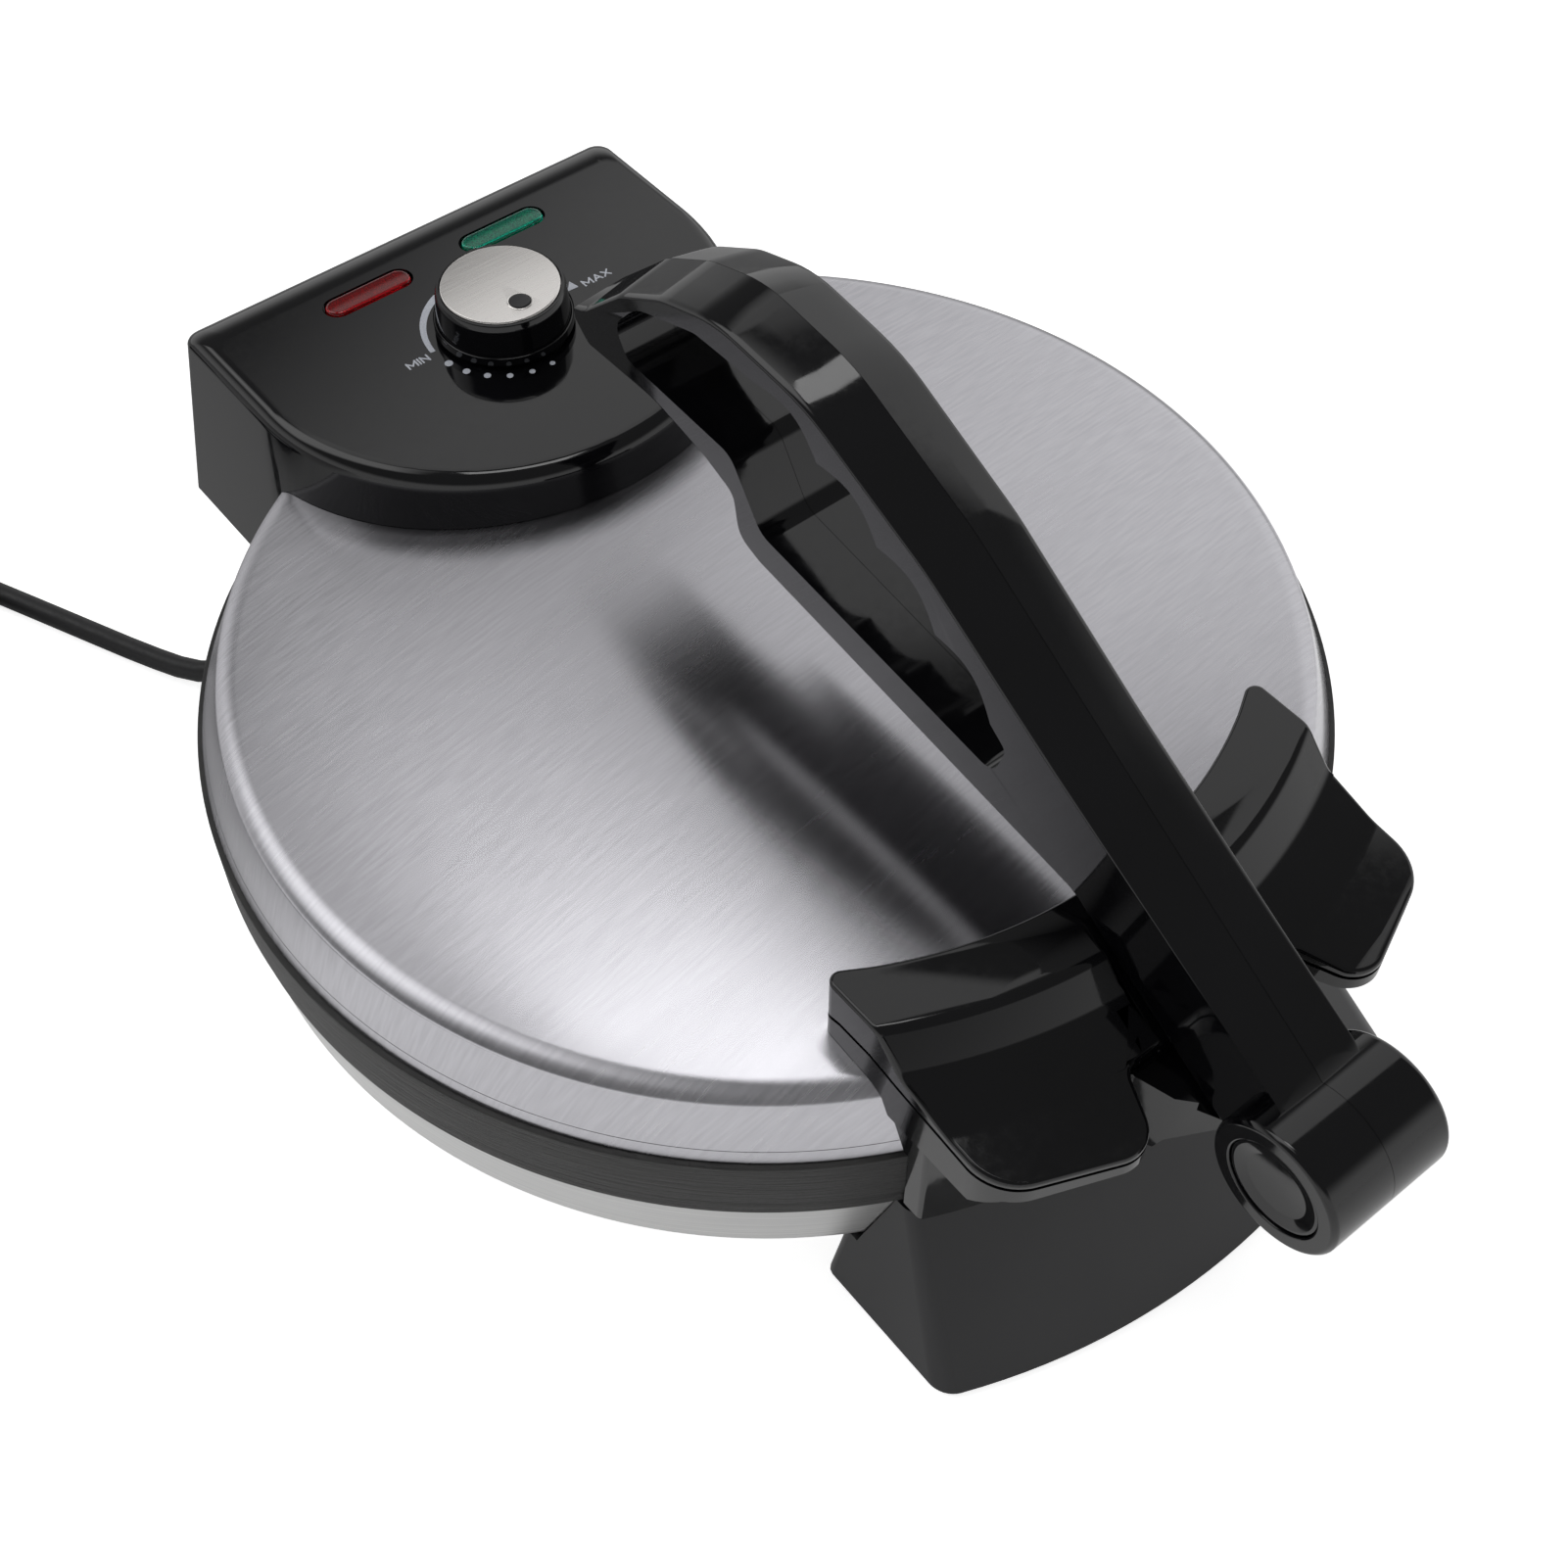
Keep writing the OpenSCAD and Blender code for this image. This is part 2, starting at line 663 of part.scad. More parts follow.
// Steel frame that carries the lid on the hinge rod, inside the housing
module hinge_frame() {
    t = frame_t;
    web_y = rim_r + seat + 1;
    seat_z = frame_seat_z;
    span = ear_span - 2 * ear_w - 2;
    color([0.72, 0.72, 0.72]) on_lid_axis() difference() {
        union() {
            translate([-span / 2, 0, 0])
                rotate([90, 0, 90])
                    linear_extrude(height = span)
                        polygon([[frame_front, seat_z], [web_y, seat_z], [web_y, hinge_z - 2],
                            [web_y + t, hinge_z - 2], [web_y + t, seat_z + t],
                            [frame_front, seat_z + t]]);
            for (side = [-1, 1])
                translate([side * (span / 2 - 14), 0, 0])
                    frame_knuckle();
        }
        translate([0, hinge_y, hinge_z])
            rotate([0, 90, 0])
                cylinder(d = rod_d, h = span + 2, center = true);
        for (p = frame_points)
            translate([p[0], p[1], seat_z - 1])
                cylinder(d = screw_d + 2 * screw_clear, h = t + 2);
        translate([0, knob_y, seat_z - 1])
            cylinder(d = 14, h = t + 2);
        translate([-12, knob_y + 14, seat_z - 1])
            cube([24, 16, t + 2]);
    }
}

module frame_knuckle() {
    eye = knuckle_d / 2;
    wide = 28;
    translate([-wide / 2, 0, 0])
        rotate([90, 0, 90])
            linear_extrude(height = wide)
                polygon(concat(arc([hinge_y, hinge_z], eye, -120, 120, 14),
                    [[rim_r + 3.5, hinge_z + 16], [rim_r + 3.5, hinge_z - 2]]));
}

module frame_screws() {
    seat_z = frame_seat_z;
    color([0.7, 0.7, 0.7]) on_lid_axis()
        for (p = frame_points)
            translate([p[0], p[1], seat_z + frame_t])
                rotate([180, 0, 0])
                    screw(16);
}

// Plan of the control housing: straight back and sides, and a round front
function housing_plan(half, back, r) =
    concat(arc([0, housing_arc_y], half, 180, 360, 32),
        corner([half, housing_arc_y], [half, back], [0, back], r, 22.6),
        corner([0, back], [-half, back], [-half, housing_arc_y], r, 22.6));

module housing_slab(z, half, back, r) {
    translate([0, 0, z])
        linear_extrude(height = tiny)
            polygon(housing_plan(half, back, r));
}

// The housing's outside, or its inside when wall is the wall's thickness
module housing_body(wall) {
    half = housing_half - wall;
    back = housing_rear - wall;
    r = housing_corner_r - wall * 0.6;
    straight = housing_top - housing_edge_r;
    top = housing_top - wall - tiny;
    hull() {
        housing_slab(housing_foot - (wall > 0 ? 1 : 0), half + housing_draft, back + housing_rear_draft,
            r * 0.4);
        for (k = [0:5])
            let (a = 18 * k)
            housing_slab(straight + (top - straight) * sin(a),
                half - (housing_edge_r - wall) * (1 - cos(a)),
                back - (housing_rear_edge - wall) * (1 - cos(a)), r);
    }
}

module lens_slot(side, grow, h) {
    for (x = [-1, 1])
        translate([side * lens_pitch / 2 + x * (lens_l - lens_w) / 2, lens_y, 0])
            cylinder(d = lens_w + 2 * grow, h = h);
    translate([side * lens_pitch / 2 - (lens_l - lens_w) / 2, lens_y - lens_w / 2 - grow, 0])
        cube([lens_l - lens_w, lens_w + 2 * grow, h]);
}

module control_housing() {
    notch = ear_w + 6;
    color([0.09, 0.09, 0.1]) on_lid_axis() difference() {
        housing_body(0);
        housing_body(housing_wall);
        lid_space();
        cylinder(r = rim_r + 1.6, h = split_z + 1);
        translate([0, knob_y, housing_top - 8])
            cylinder(d = shaft_d + 2, h = 10);
        for (side = [-1, 1]) {
            translate([0, 0, housing_top - 8])
                lens_slot(side, seat, 10);
            translate([side * (ear_span / 2 - ear_w / 2) - notch / 2, hinge_y + 2, housing_foot - 2])
                cube([notch, housing_back + housing_draft, hinge_z + 9 - housing_foot]);
        }
    }
}

module lens(side) {
    translate([0, 0, housing_top - housing_wall - 3])
        lens_slot(side, 0, housing_wall + 3.2);
    translate([0, 0, housing_top + 0.2])
        lens_slot(side, -0.6, 0.6);
}

module red_lens() {
    color([0.55, 0.03, 0.05]) on_lid_axis()
        lens(-1);
}

module green_lens() {
    color([0.02, 0.45, 0.33]) on_lid_axis()
        lens(1);
}

// Neon lamps in their sleeves, clipped under the lenses
module lamps() {
    d = 6;
    color([0.95, 0.75, 0.55]) on_lid_axis()
        for (side = [-1, 1])
            translate([side * lens_pitch / 2, lens_y, housing_top - housing_wall - 3 - d / 2])
                rotate([0, 90, 0])
                    cylinder(d = d, h = lens_l - 5, center = true);
}

case_h = 5;
body_z = frame_seat_z + frame_t + case_h + 0.02;
bush_h = housing_top - housing_wall - 0.3 - body_z;

// The regulator's round case hangs from the housing's top by its threaded bush
module thermostat() {
    color([0.86, 0.84, 0.78]) on_lid_axis() difference() {
        union() {
            translate([0, knob_y, body_z - case_h])
                cylinder(d = 30, h = case_h);
            translate([0, knob_y, body_z])
                cylinder(d = 11, h = bush_h);
        }
        translate([0, knob_y, body_z - 3])
            cylinder(d = shaft_d, h = 20);
    }
}

module thermostat_bracket() {
    color([0.72, 0.72, 0.72]) on_lid_axis() difference() {
        union() {
            translate([-20, knob_y - 10, housing_top - housing_wall - 1.2])
                cube([40, 20, 1.2]);
            for (side = [-1, 1])
                translate([side * 19 - 1, knob_y - 6, body_z - case_h])
                    cube([2, 12, housing_top - housing_wall - body_z + case_h - 0.6]);
            for (side = [-1, 1])
                translate([side * 17.6 - 2.4, knob_y - 6, body_z - case_h])
                    cube([4.8, 12, 1.2]);
        }
        translate([0, knob_y, body_z - 10])
            cylinder(d = 30.4, h = 9.6);
        translate([0, knob_y, body_z])
            cylinder(d = 11.4, h = 20);
    }
}

// Plan of the two wings, with the gap for the lever between them and the arc over the lid
function grip_plan(inset) =
    let (w = grip_w / 2 - inset, f = grip_front - inset, g = grip_gap / 2 + inset,
        channel = lid_r + 10 - inset, b = grip_back + inset, a = asin(w / b),
        back = arc([0, 0], b, 270 + a, 270 - a, 24))
    rounded(concat([[-w, -f + 15.5], [-g - 8.5, -f], [-g, -channel], [g, -channel], [g + 8.5, -f],
        [w, -f + 15.5], back[0]], [for (k = [2:22]) back[k]], [back[24]]),
        concat([15, 9, 5, 5, 9, 15, 3], [for (k = [2:22]) 0], [3]), 12);

// Upper line of the wings, seen from the side, and the line where their two shells meet
function grip_line(drop) = let (z = shoulder_z + grip_rise - drop)
    [[-100, z + 0.2], [-(lid_r - 31.5), z - 1.6], [-(lid_r - 29), z - 2.4], [-(lid_r - 23), z - 6.4],
        [-(lid_r - 20.5), z - 7.6], [-(lid_r + 2), z - 15], [-(lid_r + 8), z - 15.8], [-(lid_r + 40), z - 16.2]];
function grip_parting() = let (z = shoulder_z)
    [[-(lid_r + 40), z + 4], [-(lid_r + 5), z + 4.4], [-(lid_r - 20), z + 7.6], [-(lid_r - 30), z + 9.4],
        [-(lid_r - 41), z + 9.2], [-(lid_r - 52), z + 6], [-100, z + 5]];

module side_prism(line, half) {
    translate([-half, 0, 0])
        rotate([90, 0, 90])
            linear_extrude(height = 2 * half)
                polygon(line);
}

// Space that the lever's arm needs above the grip when it is folded back
function arm_space(down) =
    let (p = [pivot_y, pivot_z])
    [p + [19, -7.2 - down], p + [75, 26.9 - down], p + [100, 60], p + [19, 60]];

module grip_top() {
    color([0.1, 0.1, 0.11]) on_lid_axis() difference() {
        intersection() {
            linear_extrude(height = shoulder_z + 60)
                polygon(grip_plan(0));
            side_prism(concat(grip_line(0), [for (q = grip_parting()) q + [0, 0.1]]), grip_w);
        }
        lid_space();
        side_prism(arm_space(2), lever_root_w / 2 + 3);
        difference() {
            intersection() {
                linear_extrude(height = shoulder_z + 60)
                    polygon(grip_plan(2.5));
                side_prism(concat(grip_line(2.5), [[-(lid_r + 40), 0], [-100, 0]]), grip_w);
            }
            side_prism(arm_space(4.5), lever_root_w / 2 + 5.5);
        }
    }
}

module grip_body() {
    low = shoulder_z;
    neck_half = barrel_l / 2;
    p = [pivot_y, pivot_z];
    color([0.1, 0.1, 0.11]) on_lid_axis() difference() {
        union() {
            intersection() {
                linear_extrude(height = shoulder_z + 60)
                    polygon(grip_plan(0));
                side_prism(concat([[-100, low - 8], [-(lid_r + 6), low - 8], [-(lid_r + 14), low - 1],
                    [-(lid_r + 40), low + 2]], grip_parting()), grip_w);
            }
            intersection() {
                cylinder(r = apron_r, h = shoulder_z - 2);
                translate([-grip_w / 2 + 1, -apron_r, split_z - apron_drop])
                    cube([grip_w - 2, apron_r - 100, upper_rim_h + skirt_h + shoulder_r + apron_drop - 4]);
            }
            intersection() {
                linear_extrude(height = shoulder_z + 60)
                    polygon([[-neck_half - 5, -150], [-neck_half - 5, p[0] + 44], [-neck_half, p[0] + 31],
                        [-ear_half, p[0] + 19.5], [ear_half, p[0] + 19.5], [neck_half, p[0] + 31],
                        [neck_half + 5, p[0] + 44], [neck_half + 5, -150]]);
                side_prism([p + [19.5, -9.5], p + [31, -21], p + [33, -26.5], p + [50, -28], p + [61, -20],
                    p + [61, 3.5], p + [31, -1], p + [19.5, -1]], neck_half + 6);
            }
            side_prism(concat(arc(p, 14, 10, 325, 30), [p + [24, -12], p + [34, -20], p + [34, -3],
                p + [27.5, 3.4]]), ear_half);
        }
        lid_space();
        difference() {
            side_prism(arm_space(2), lever_root_w / 2 + 3);
            side_prism([p + [0, -20], p + [28, -20], p + [28, 40], p + [0, 40]], ear_half);
        }
        translate([0, p[0], p[1]])
            rotate([0, 90, 0])
                cylinder(d = pin_d, h = barrel_l, center = true);
        for (q = grip_points)
            translate([q[0], q[1], bend_z]) {
                cylinder(d = screw_d + 2 * screw_clear, h = 40);
                translate([0, 0, shoulder_r + 2.4])
                    cylinder(d = screw_head_d + 1, h = 40);
            }
    }
}

module grip_screws() {
    color([0.7, 0.7, 0.7]) on_lid_axis()
        for (q = grip_points)
            translate([q[0], q[1], bend_z + shoulder_r + 2.4])
                rotate([180, 0, 0])
                    screw(16);
}

module pivot_pin() {
    color([0.75, 0.75, 0.76]) on_lid_axis()
        translate([0, pivot_y, pivot_z])
            rotate([0, 90, 0])
                cylinder(d = pin_d - 2 * run_clear, h = barrel_l - 10, center = true);
}

/* Knob */

knob_z = housing_top + 0.5;

module knob() {
    r = knob_d / 2;
    color([0.08, 0.08, 0.08]) on_lid_axis() translate([0, knob_y, knob_z]) difference() {
        union() {
            rotate_extrude()
                polygon([[0, 0], [r, 0], [r, 1.2], [r - 0.6, 3.4], [r - 1, knob_h - 4],
                    [r - 1.5, knob_h - 2.2], [r - 2.6, knob_h - 0.8], [disc_d / 2 + 0.2, knob_h],
                    [disc_d / 2 + 0.2, knob_h - 0.9], [0, knob_h - 0.9]]);
            translate([0, -pip_off, knob_h - 2])
                cylinder(d = pip_d, h = 2.4);
        }
        translate([0, 0, -1])
            cylinder(d = shaft_d, h = knob_h - 4);
        rotate_extrude()
            polygon([[6.5, -1], [r - 3.4, -1], [r - 3.4, knob_h - 5], [6.5, knob_h - 5]]);
    }
}

module knob_disc() {
    color([0.8, 0.79, 0.77]) on_lid_axis() translate([0, knob_y, knob_z + knob_h - 0.8]) difference() {
        rotate_extrude()
            polygon([[0, 0], [disc_d / 2, 0], [disc_d / 2, 0.5], [disc_d / 2 - 0.4, 0.9], [0, 0.9]]);
        translate([0, -pip_off, -1])
            cylinder(d = pip_d + 0.4, h = 4);
    }
}

module thermostat_shaft() {
    color([0.75, 0.74, 0.7]) on_lid_axis()
        translate([0, knob_y, body_z - 2.5])
            cylinder(d = shaft_d - 2 * run_clear, h = knob_z + knob_h - 5.4 - body_z + 2.5);
}

/* Lever */

// Upper and lower lines of the lever seen from the side, about its pivot
function open_line(p, radii) = let (q = rounded(p, radii, 14)) q;
lever_top = open_line([[-4, 8], [10, 19.5], [135, 95.5], [178, lever_crest - 2.5],
    [211, lever_crest + 0.8], [232, lever_crest - 6], [250, 101], [lever_l, 81.5]],
    [0, 0, 60, 50, 40, 26, 22, 0]);
lever_low = open_line([[-4, -14.5], [22.5, -5.4], [77, 28], [195, 45], [203, 48], [205, 61], [217, 66],
    [238, 70.5], [lever_l - 5, 70.2], [lever_l, 75]], [0, 0, 12, 7, 6, 6, 12, 25, 4, 0]);

function loop_top(t) = let (a = [196, 105.7], b = [109.3, 60.5], out = -unit([-(b - a)[1], (b - a)[0]]))
    a + (b - a) * t + out * (14 * t * (1 - t) + groove_depth * abs(sin(180 * finger_grooves * t)));

// The finger loop: a straight floor, a stepped heel and grooves under the upper bar
lever_loop = concat(
    rounded([loop_top(1), [103.5, 56], [106.5, 44.6], [194, 56.5], [206, 75], [248, 77.5], [253, 86],
        [243, 97.5], [219, 105.5], loop_top(0)], [0, 3, 5, 7, 7, 4, 6, 16, 10, 0], 18),
    [for (k = [1:6 * finger_grooves - 1]) loop_top(k / (6 * finger_grooves))]);

function lever_half_w(u) = lever_root_w / 2 + (lever_tip_w - lever_root_w) / 2 * u / lever_l;

// Cross-section of the lever's right half at a distance u from its pivot
function lever_section(u) =
    let (w = lever_half_w(u), hi = lookup(u, lever_top), lo = lookup(u, lever_low),
        drop = 4.8 * min(max(u / 90, 0.1), 1) * min(1, (hi - lo) / 16), seam = 0.08)
    [[seam, u, lo], [w - 1.6, u, lo], [w, u, lo + 0.1 * drop + 0.8], [w, u, hi - drop],
        [w * 0.97, u, hi - 0.83 * drop], [w * 0.9, u, hi - 0.7 * drop], [w * 0.45, u, hi - 0.32 * drop],
        [seam, u, hi]];

lever_stations = [-4, 5, 14, 22.5, 34, 48, 62, 72, 77, 82, 95, 108, 121, 130, 135, 140, 150, 160, 170,
    178, 186, 194, 198, 201, 203, 204, 205, 207, 210, 214, 220, 226, 232, 238, 244, 250, 255, 260,
    lever_l - 7, lever_l - 4.5, lever_l - 2, lever_l];

module lever_solid() {
    n = 8;
    rings = len(lever_stations);
    sides = [for (i = [0:rings - 2]) for (k = [0:n - 1]) let (m = (k + 1) % n)
        each [[i * n + k, i * n + m, (i + 1) * n + m], [i * n + k, (i + 1) * n + m, (i + 1) * n + k]]];
    caps = [[for (k = [n - 1:-1:0]) k], [for (k = [0:n - 1]) (rings - 1) * n + k]];
    polyhedron(points = [for (u = lever_stations) each lever_section(u)], faces = concat(sides, caps),
        convexity = 10);
}

lever_screw_points = [[60, 38], [95, 52], [lever_l - 9.5, 79]];

// The right half of the lever, about its pivot
module lever_half() {
    half = barrel_l / 2;
    difference() {
        union() {
            lever_solid();
            rotate([90, 0, 90])
                rotate_extrude()
                    polygon([[0, 0.1], [barrel_r, 0.1], [barrel_r, half - 2.5], [barrel_r - 0.7, half - 0.8],
                        [barrel_r - 2.5, half], [13.5, half], [13.5, half - 3.4], [0, half - 3.4]]);
        }
        translate([-1, 0, 0])
            rotate([90, 0, 90])
                linear_extrude(height = 30)
                    polygon(lever_loop);
        translate([half - 3.4, 0, 0])
            rotate([0, 90, 0])
                cylinder(r = 13.5, h = 10);
        rotate([0, 90, 0])
            cylinder(r = cavity_r, h = ear_half + ear_play);
        rotate([0, 90, 0])
            cylinder(d = pin_d, h = half - 4.8);
        translate([-1, 0, 0])
            rotate([90, 0, 90])
                linear_extrude(height = ear_half + ear_play + 1)
                    polygon(concat([[0, 0]], arc([0, 0], 31, 14, -166, 24)));
    }
}

module at_pivot() {
    translate([0, lid_y + pivot_y, pivot_z])
        children();
}

module lever_right() {
    color([0.1, 0.1, 0.11]) at_pivot() difference() {
        lever_half();
        for (q = lever_screw_points)
            translate([0, q[0], q[1]])
                rotate([0, 90, 0]) {
                    cylinder(d = screw_d + 2 * screw_clear, h = 40);
                    translate([0, 0, 7])
                        cylinder(d = screw_head_d + 1, h = 40);
                }
    }
}

module lever_left() {
    color([0.1, 0.1, 0.11]) at_pivot() mirror([1, 0, 0]) difference() {
        lever_half();
        for (q = lever_screw_points)
            translate([0, q[0], q[1]])
                rotate([0, 90, 0])
                    cylinder(d = screw_d + 2 * screw_clear, h = 10);
    }
}

module barrel_caps() {
    half = barrel_l / 2;
    color([0.1, 0.1, 0.11]) at_pivot()
        for (side = [0, 1])
            mirror([side, 0, 0])
                translate([half - 3.4, 0, 0])
                    rotate([90, 0, 90])
                        rotate_extrude()
                            polygon([[0, 0], [13.3, 0], [13.3, 2.6], [12.6, 2.8], [9, 1.9], [0, 1.2]]);
}

module lever_screws() {
    color([0.7, 0.7, 0.7]) at_pivot()
        for (q = lever_screw_points)
            translate([7, q[0], q[1]])
                rotate([0, -90, 0])
                    screw(15);
}

base_pan();
lower_plate();
lower_element();
plate_screws();
front_bracket();
rear_bracket();
bracket_screws();
rubber_feet();
terminal_block();
hinge_rod();
strain_relief();
cord();
cord_coil();
plug();
plug_pins();
lid_cover();
upper_plate();
upper_element();
hinge_frame();
frame_screws();
control_housing();
thermostat();
thermostat_bracket();
red_lens();
green_lens();
lamps();
grip_body();
grip_top();
grip_screws();
pivot_pin();
knob();
knob_disc();
thermostat_shaft();
lever_left();
lever_right();
barrel_caps();
lever_screws();
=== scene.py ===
import math

import bmesh
import bpy
from mathutils import Matrix, Vector


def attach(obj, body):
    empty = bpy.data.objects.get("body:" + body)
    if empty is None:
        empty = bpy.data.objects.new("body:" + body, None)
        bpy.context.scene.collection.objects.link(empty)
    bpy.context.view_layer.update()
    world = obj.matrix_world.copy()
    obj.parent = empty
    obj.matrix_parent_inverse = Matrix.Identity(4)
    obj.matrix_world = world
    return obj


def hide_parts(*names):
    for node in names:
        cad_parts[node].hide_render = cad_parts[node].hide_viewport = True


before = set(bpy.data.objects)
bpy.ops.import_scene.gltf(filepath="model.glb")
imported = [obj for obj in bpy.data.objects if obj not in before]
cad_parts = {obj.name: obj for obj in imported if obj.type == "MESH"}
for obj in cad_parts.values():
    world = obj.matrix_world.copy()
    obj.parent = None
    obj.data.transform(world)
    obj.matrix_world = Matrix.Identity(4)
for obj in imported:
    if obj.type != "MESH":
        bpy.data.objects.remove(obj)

scene = bpy.context.scene
scene.view_settings.view_transform = "Standard"
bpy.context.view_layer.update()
print("frame loaded:", len(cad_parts), "solids")

# Everything below is written in millimetres about the lid's axis, with z = 0 on the table.
# finishPiece moves it to the frame's place and turns it into metres.
lidY = 18.4
mm = 0.001


# sRGB hex to linear RGBA.
def linearColour(hexText):
    values = [int(hexText[i:i + 2], 16) / 255 for i in (1, 3, 5)]
    linear = [v / 12.92 if v <= 0.04045 else ((v + 0.055) / 1.055) ** 2.4 for v in values]
    return (*linear, 1.0)


def arcPoints(cx, cy, r, start, end, count):
    return [(cx + r * math.cos(math.radians(start + (end - start) * k / count)),
             cy + r * math.sin(math.radians(start + (end - start) * k / count)))
            for k in range(count + 1)]


def filletPoints(a, b, c, r, step=9.0):
    a, b, c = Vector(a), Vector(b), Vector(c)
    u, v = (a - b).normalized(), (c - b).normalized()
    half = math.acos(max(-1.0, min(1.0, u.dot(v)))) / 2
    if half > math.pi / 2 - 0.01:
        return [tuple(b)]
    middle = b + (u + v).normalized() * r / math.sin(half)
    p, q = b + u * r / math.tan(half), b + v * r / math.tan(half)
    start = math.degrees(math.atan2(p.y - middle.y, p.x - middle.x))
    end = math.degrees(math.atan2(q.y - middle.y, q.x - middle.x))
    turn = (end - start + 540) % 360 - 180
    return arcPoints(middle.x, middle.y, r, start, start + turn, max(2, math.ceil(abs(turn) / step)))


def roundedLoop(points, radii, step=9.0):
    out = []
    for i, point in enumerate(points):
        if radii[i] > 0:
            out += filletPoints(points[i - 1], point, points[(i + 1) % len(points)], radii[i], step)
        else:
            out.append(point)
    return out


# Turns a (distance, height) outline about the piece's axis.
def spinLoop(outline, steps, axis="Z", closed=True):
    bm = bmesh.new()
    place = {"Z": lambda p: (p[0], 0, p[1]), "X": lambda p: (p[1], p[0], 0)}[axis]
    turnAbout = {"Z": (0, 0, 1), "X": (1, 0, 0)}[axis]
    verts = [bm.verts.new(place(p)) for p in outline]
    pairs = list(zip(verts, verts[1:])) + ([(verts[-1], verts[0])] if closed else [])
    edges = [bm.edges.new(pair) for pair in pairs]
    bmesh.ops.spin(bm, geom=verts + edges, cent=(0, 0, 0), axis=turnAbout, angle=2 * math.pi,
                   steps=steps, use_merge=True)
    bmesh.ops.remove_doubles(bm, verts=bm.verts, dist=0.001)
    bmesh.ops.dissolve_degenerate(bm, edges=bm.edges, dist=0.0005)
    bmesh.ops.recalc_face_normals(bm, faces=bm.faces)
    return bm


# An outline drawn in a plane and extruded square to it from low to high.
def prism(outline, low, high, plane="XY"):
    place = {"XY": lambda p, h: (p[0], p[1], h), "YZ": lambda p, h: (h, p[0], p[1])}[plane]
    bm = bmesh.new()
    face = bm.faces.new([bm.verts.new(place(p, low)) for p in outline])
    made = bmesh.ops.extrude_face_region(bm, geom=[face])
    move = Vector(place((0, 0), high)) - Vector(place((0, 0), low))
    bmesh.ops.translate(bm, vec=move, verts=[v for v in made["geom"] if isinstance(v, bmesh.types.BMVert)])
    bmesh.ops.recalc_face_normals(bm, faces=bm.faces)
    return bm


# Joins closed rings of points, one after another.
def loft(rings, capped=True):
    bm = bmesh.new()
    loops = []
    for ring in rings:
        verts = [bm.verts.new(p) for p in ring]
        loops.append([bm.edges.new((verts[i - 1], verts[i])) for i in range(len(verts))])
    if capped:
        bmesh.ops.edgeloop_fill(bm, edges=loops[0])
        bmesh.ops.edgeloop_fill(bm, edges=loops[-1])
    for first, second in zip(loops, loops[1:]):
        bmesh.ops.bridge_loops(bm, edges=first + second)
    bmesh.ops.recalc_face_normals(bm, faces=bm.faces)
    return bm


def box(low, high):
    bm = bmesh.new()
    bmesh.ops.create_cube(bm, size=1)
    size = Vector(high) - Vector(low)
    bmesh.ops.scale(bm, vec=size, verts=bm.verts)
    bmesh.ops.translate(bm, vec=Vector(low) + size / 2, verts=bm.verts)
    return bm


# A plain closed rod between two points.
def rod(start, end, r, segments=48):
    start, end = Vector(start), Vector(end)
    bm = bmesh.new()
    bmesh.ops.create_cone(bm, cap_ends=True, segments=segments, radius1=r, radius2=r,
                          depth=(end - start).length)
    turn = (end - start).to_track_quat("Z", "Y").to_matrix().to_4x4()
    bmesh.ops.transform(bm, matrix=Matrix.Translation((start + end) / 2) @ turn, verts=bm.verts)
    return bm


def asObject(bm, name="tool"):
    mesh = bpy.data.meshes.new(name)
    bm.to_mesh(mesh)
    bm.free()
    obj = bpy.data.objects.new(name, mesh)
    scene.collection.objects.link(obj)
    return obj


# Writes an object's modifiers into its mesh.
def bake(obj):
    bpy.context.view_layer.update()
    graph = bpy.context.evaluated_depsgraph_get()
    mesh = bpy.data.meshes.new_from_object(obj.evaluated_get(graph))
    obj.modifiers.clear()
    obj.data = mesh


# Boolean with each tool in turn; the tools are then thrown away.
def carve(obj, tools, how="DIFFERENCE"):
    for bm in tools:
        tool = asObject(bm)
        step = obj.modifiers.new("carve", "BOOLEAN")
        step.operation = how
        step.solver = "EXACT"
        step.object = tool
        bake(obj)
        bpy.data.objects.remove(tool)
    return obj


# Rounds the moulded edges, after flat neighbours left by the booleans are merged.
def softenEdges(obj, width, segments=3, angle=32, clamp=True):
    bm = bmesh.new()
    bm.from_mesh(obj.data)
    bmesh.ops.remove_doubles(bm, verts=bm.verts, dist=0.01)
    bmesh.ops.dissolve_limit(bm, angle_limit=math.radians(0.4), verts=bm.verts, edges=bm.edges)
    bm.to_mesh(obj.data)
    bm.free()
    step = obj.modifiers.new("edges", "BEVEL")
    step.width = width
    step.segments = segments
    step.limit_method = "ANGLE"
    step.angle_limit = math.radians(angle)
    step.use_clamp_overlap = clamp
    step.harden_normals = False
    bake(obj)


# Names a piece, puts its place and metres into its mesh, and ties it to its body.
def finishPiece(obj, name, material, body, replaced=(), smoothAngle=32, place=(0, lidY, 0)):
    if isinstance(obj, bmesh.types.BMesh):
        obj = asObject(obj)
    obj.name = name
    obj.data.name = name
    obj.data.transform(Matrix.Scale(mm, 4) @ Matrix.Translation(place))
    obj.data.materials.clear()
    obj.data.materials.append(material)
    obj.data.shade_smooth()
    obj.data.set_sharp_from_angle(angle=math.radians(smoothAngle))
    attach(obj, body)
    if replaced:
        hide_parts(*replaced)
    return obj



cameraFit = {
    "azimuth": -39.218, "elevation": 52.142, "roll": 0.343, "distance": 568.977,
    "target": (-31.51, -47.365, 88.0), "focalPixels": 2197.755, "centre": (802.181, 794.329),
    "pictureSize": 1601,
}


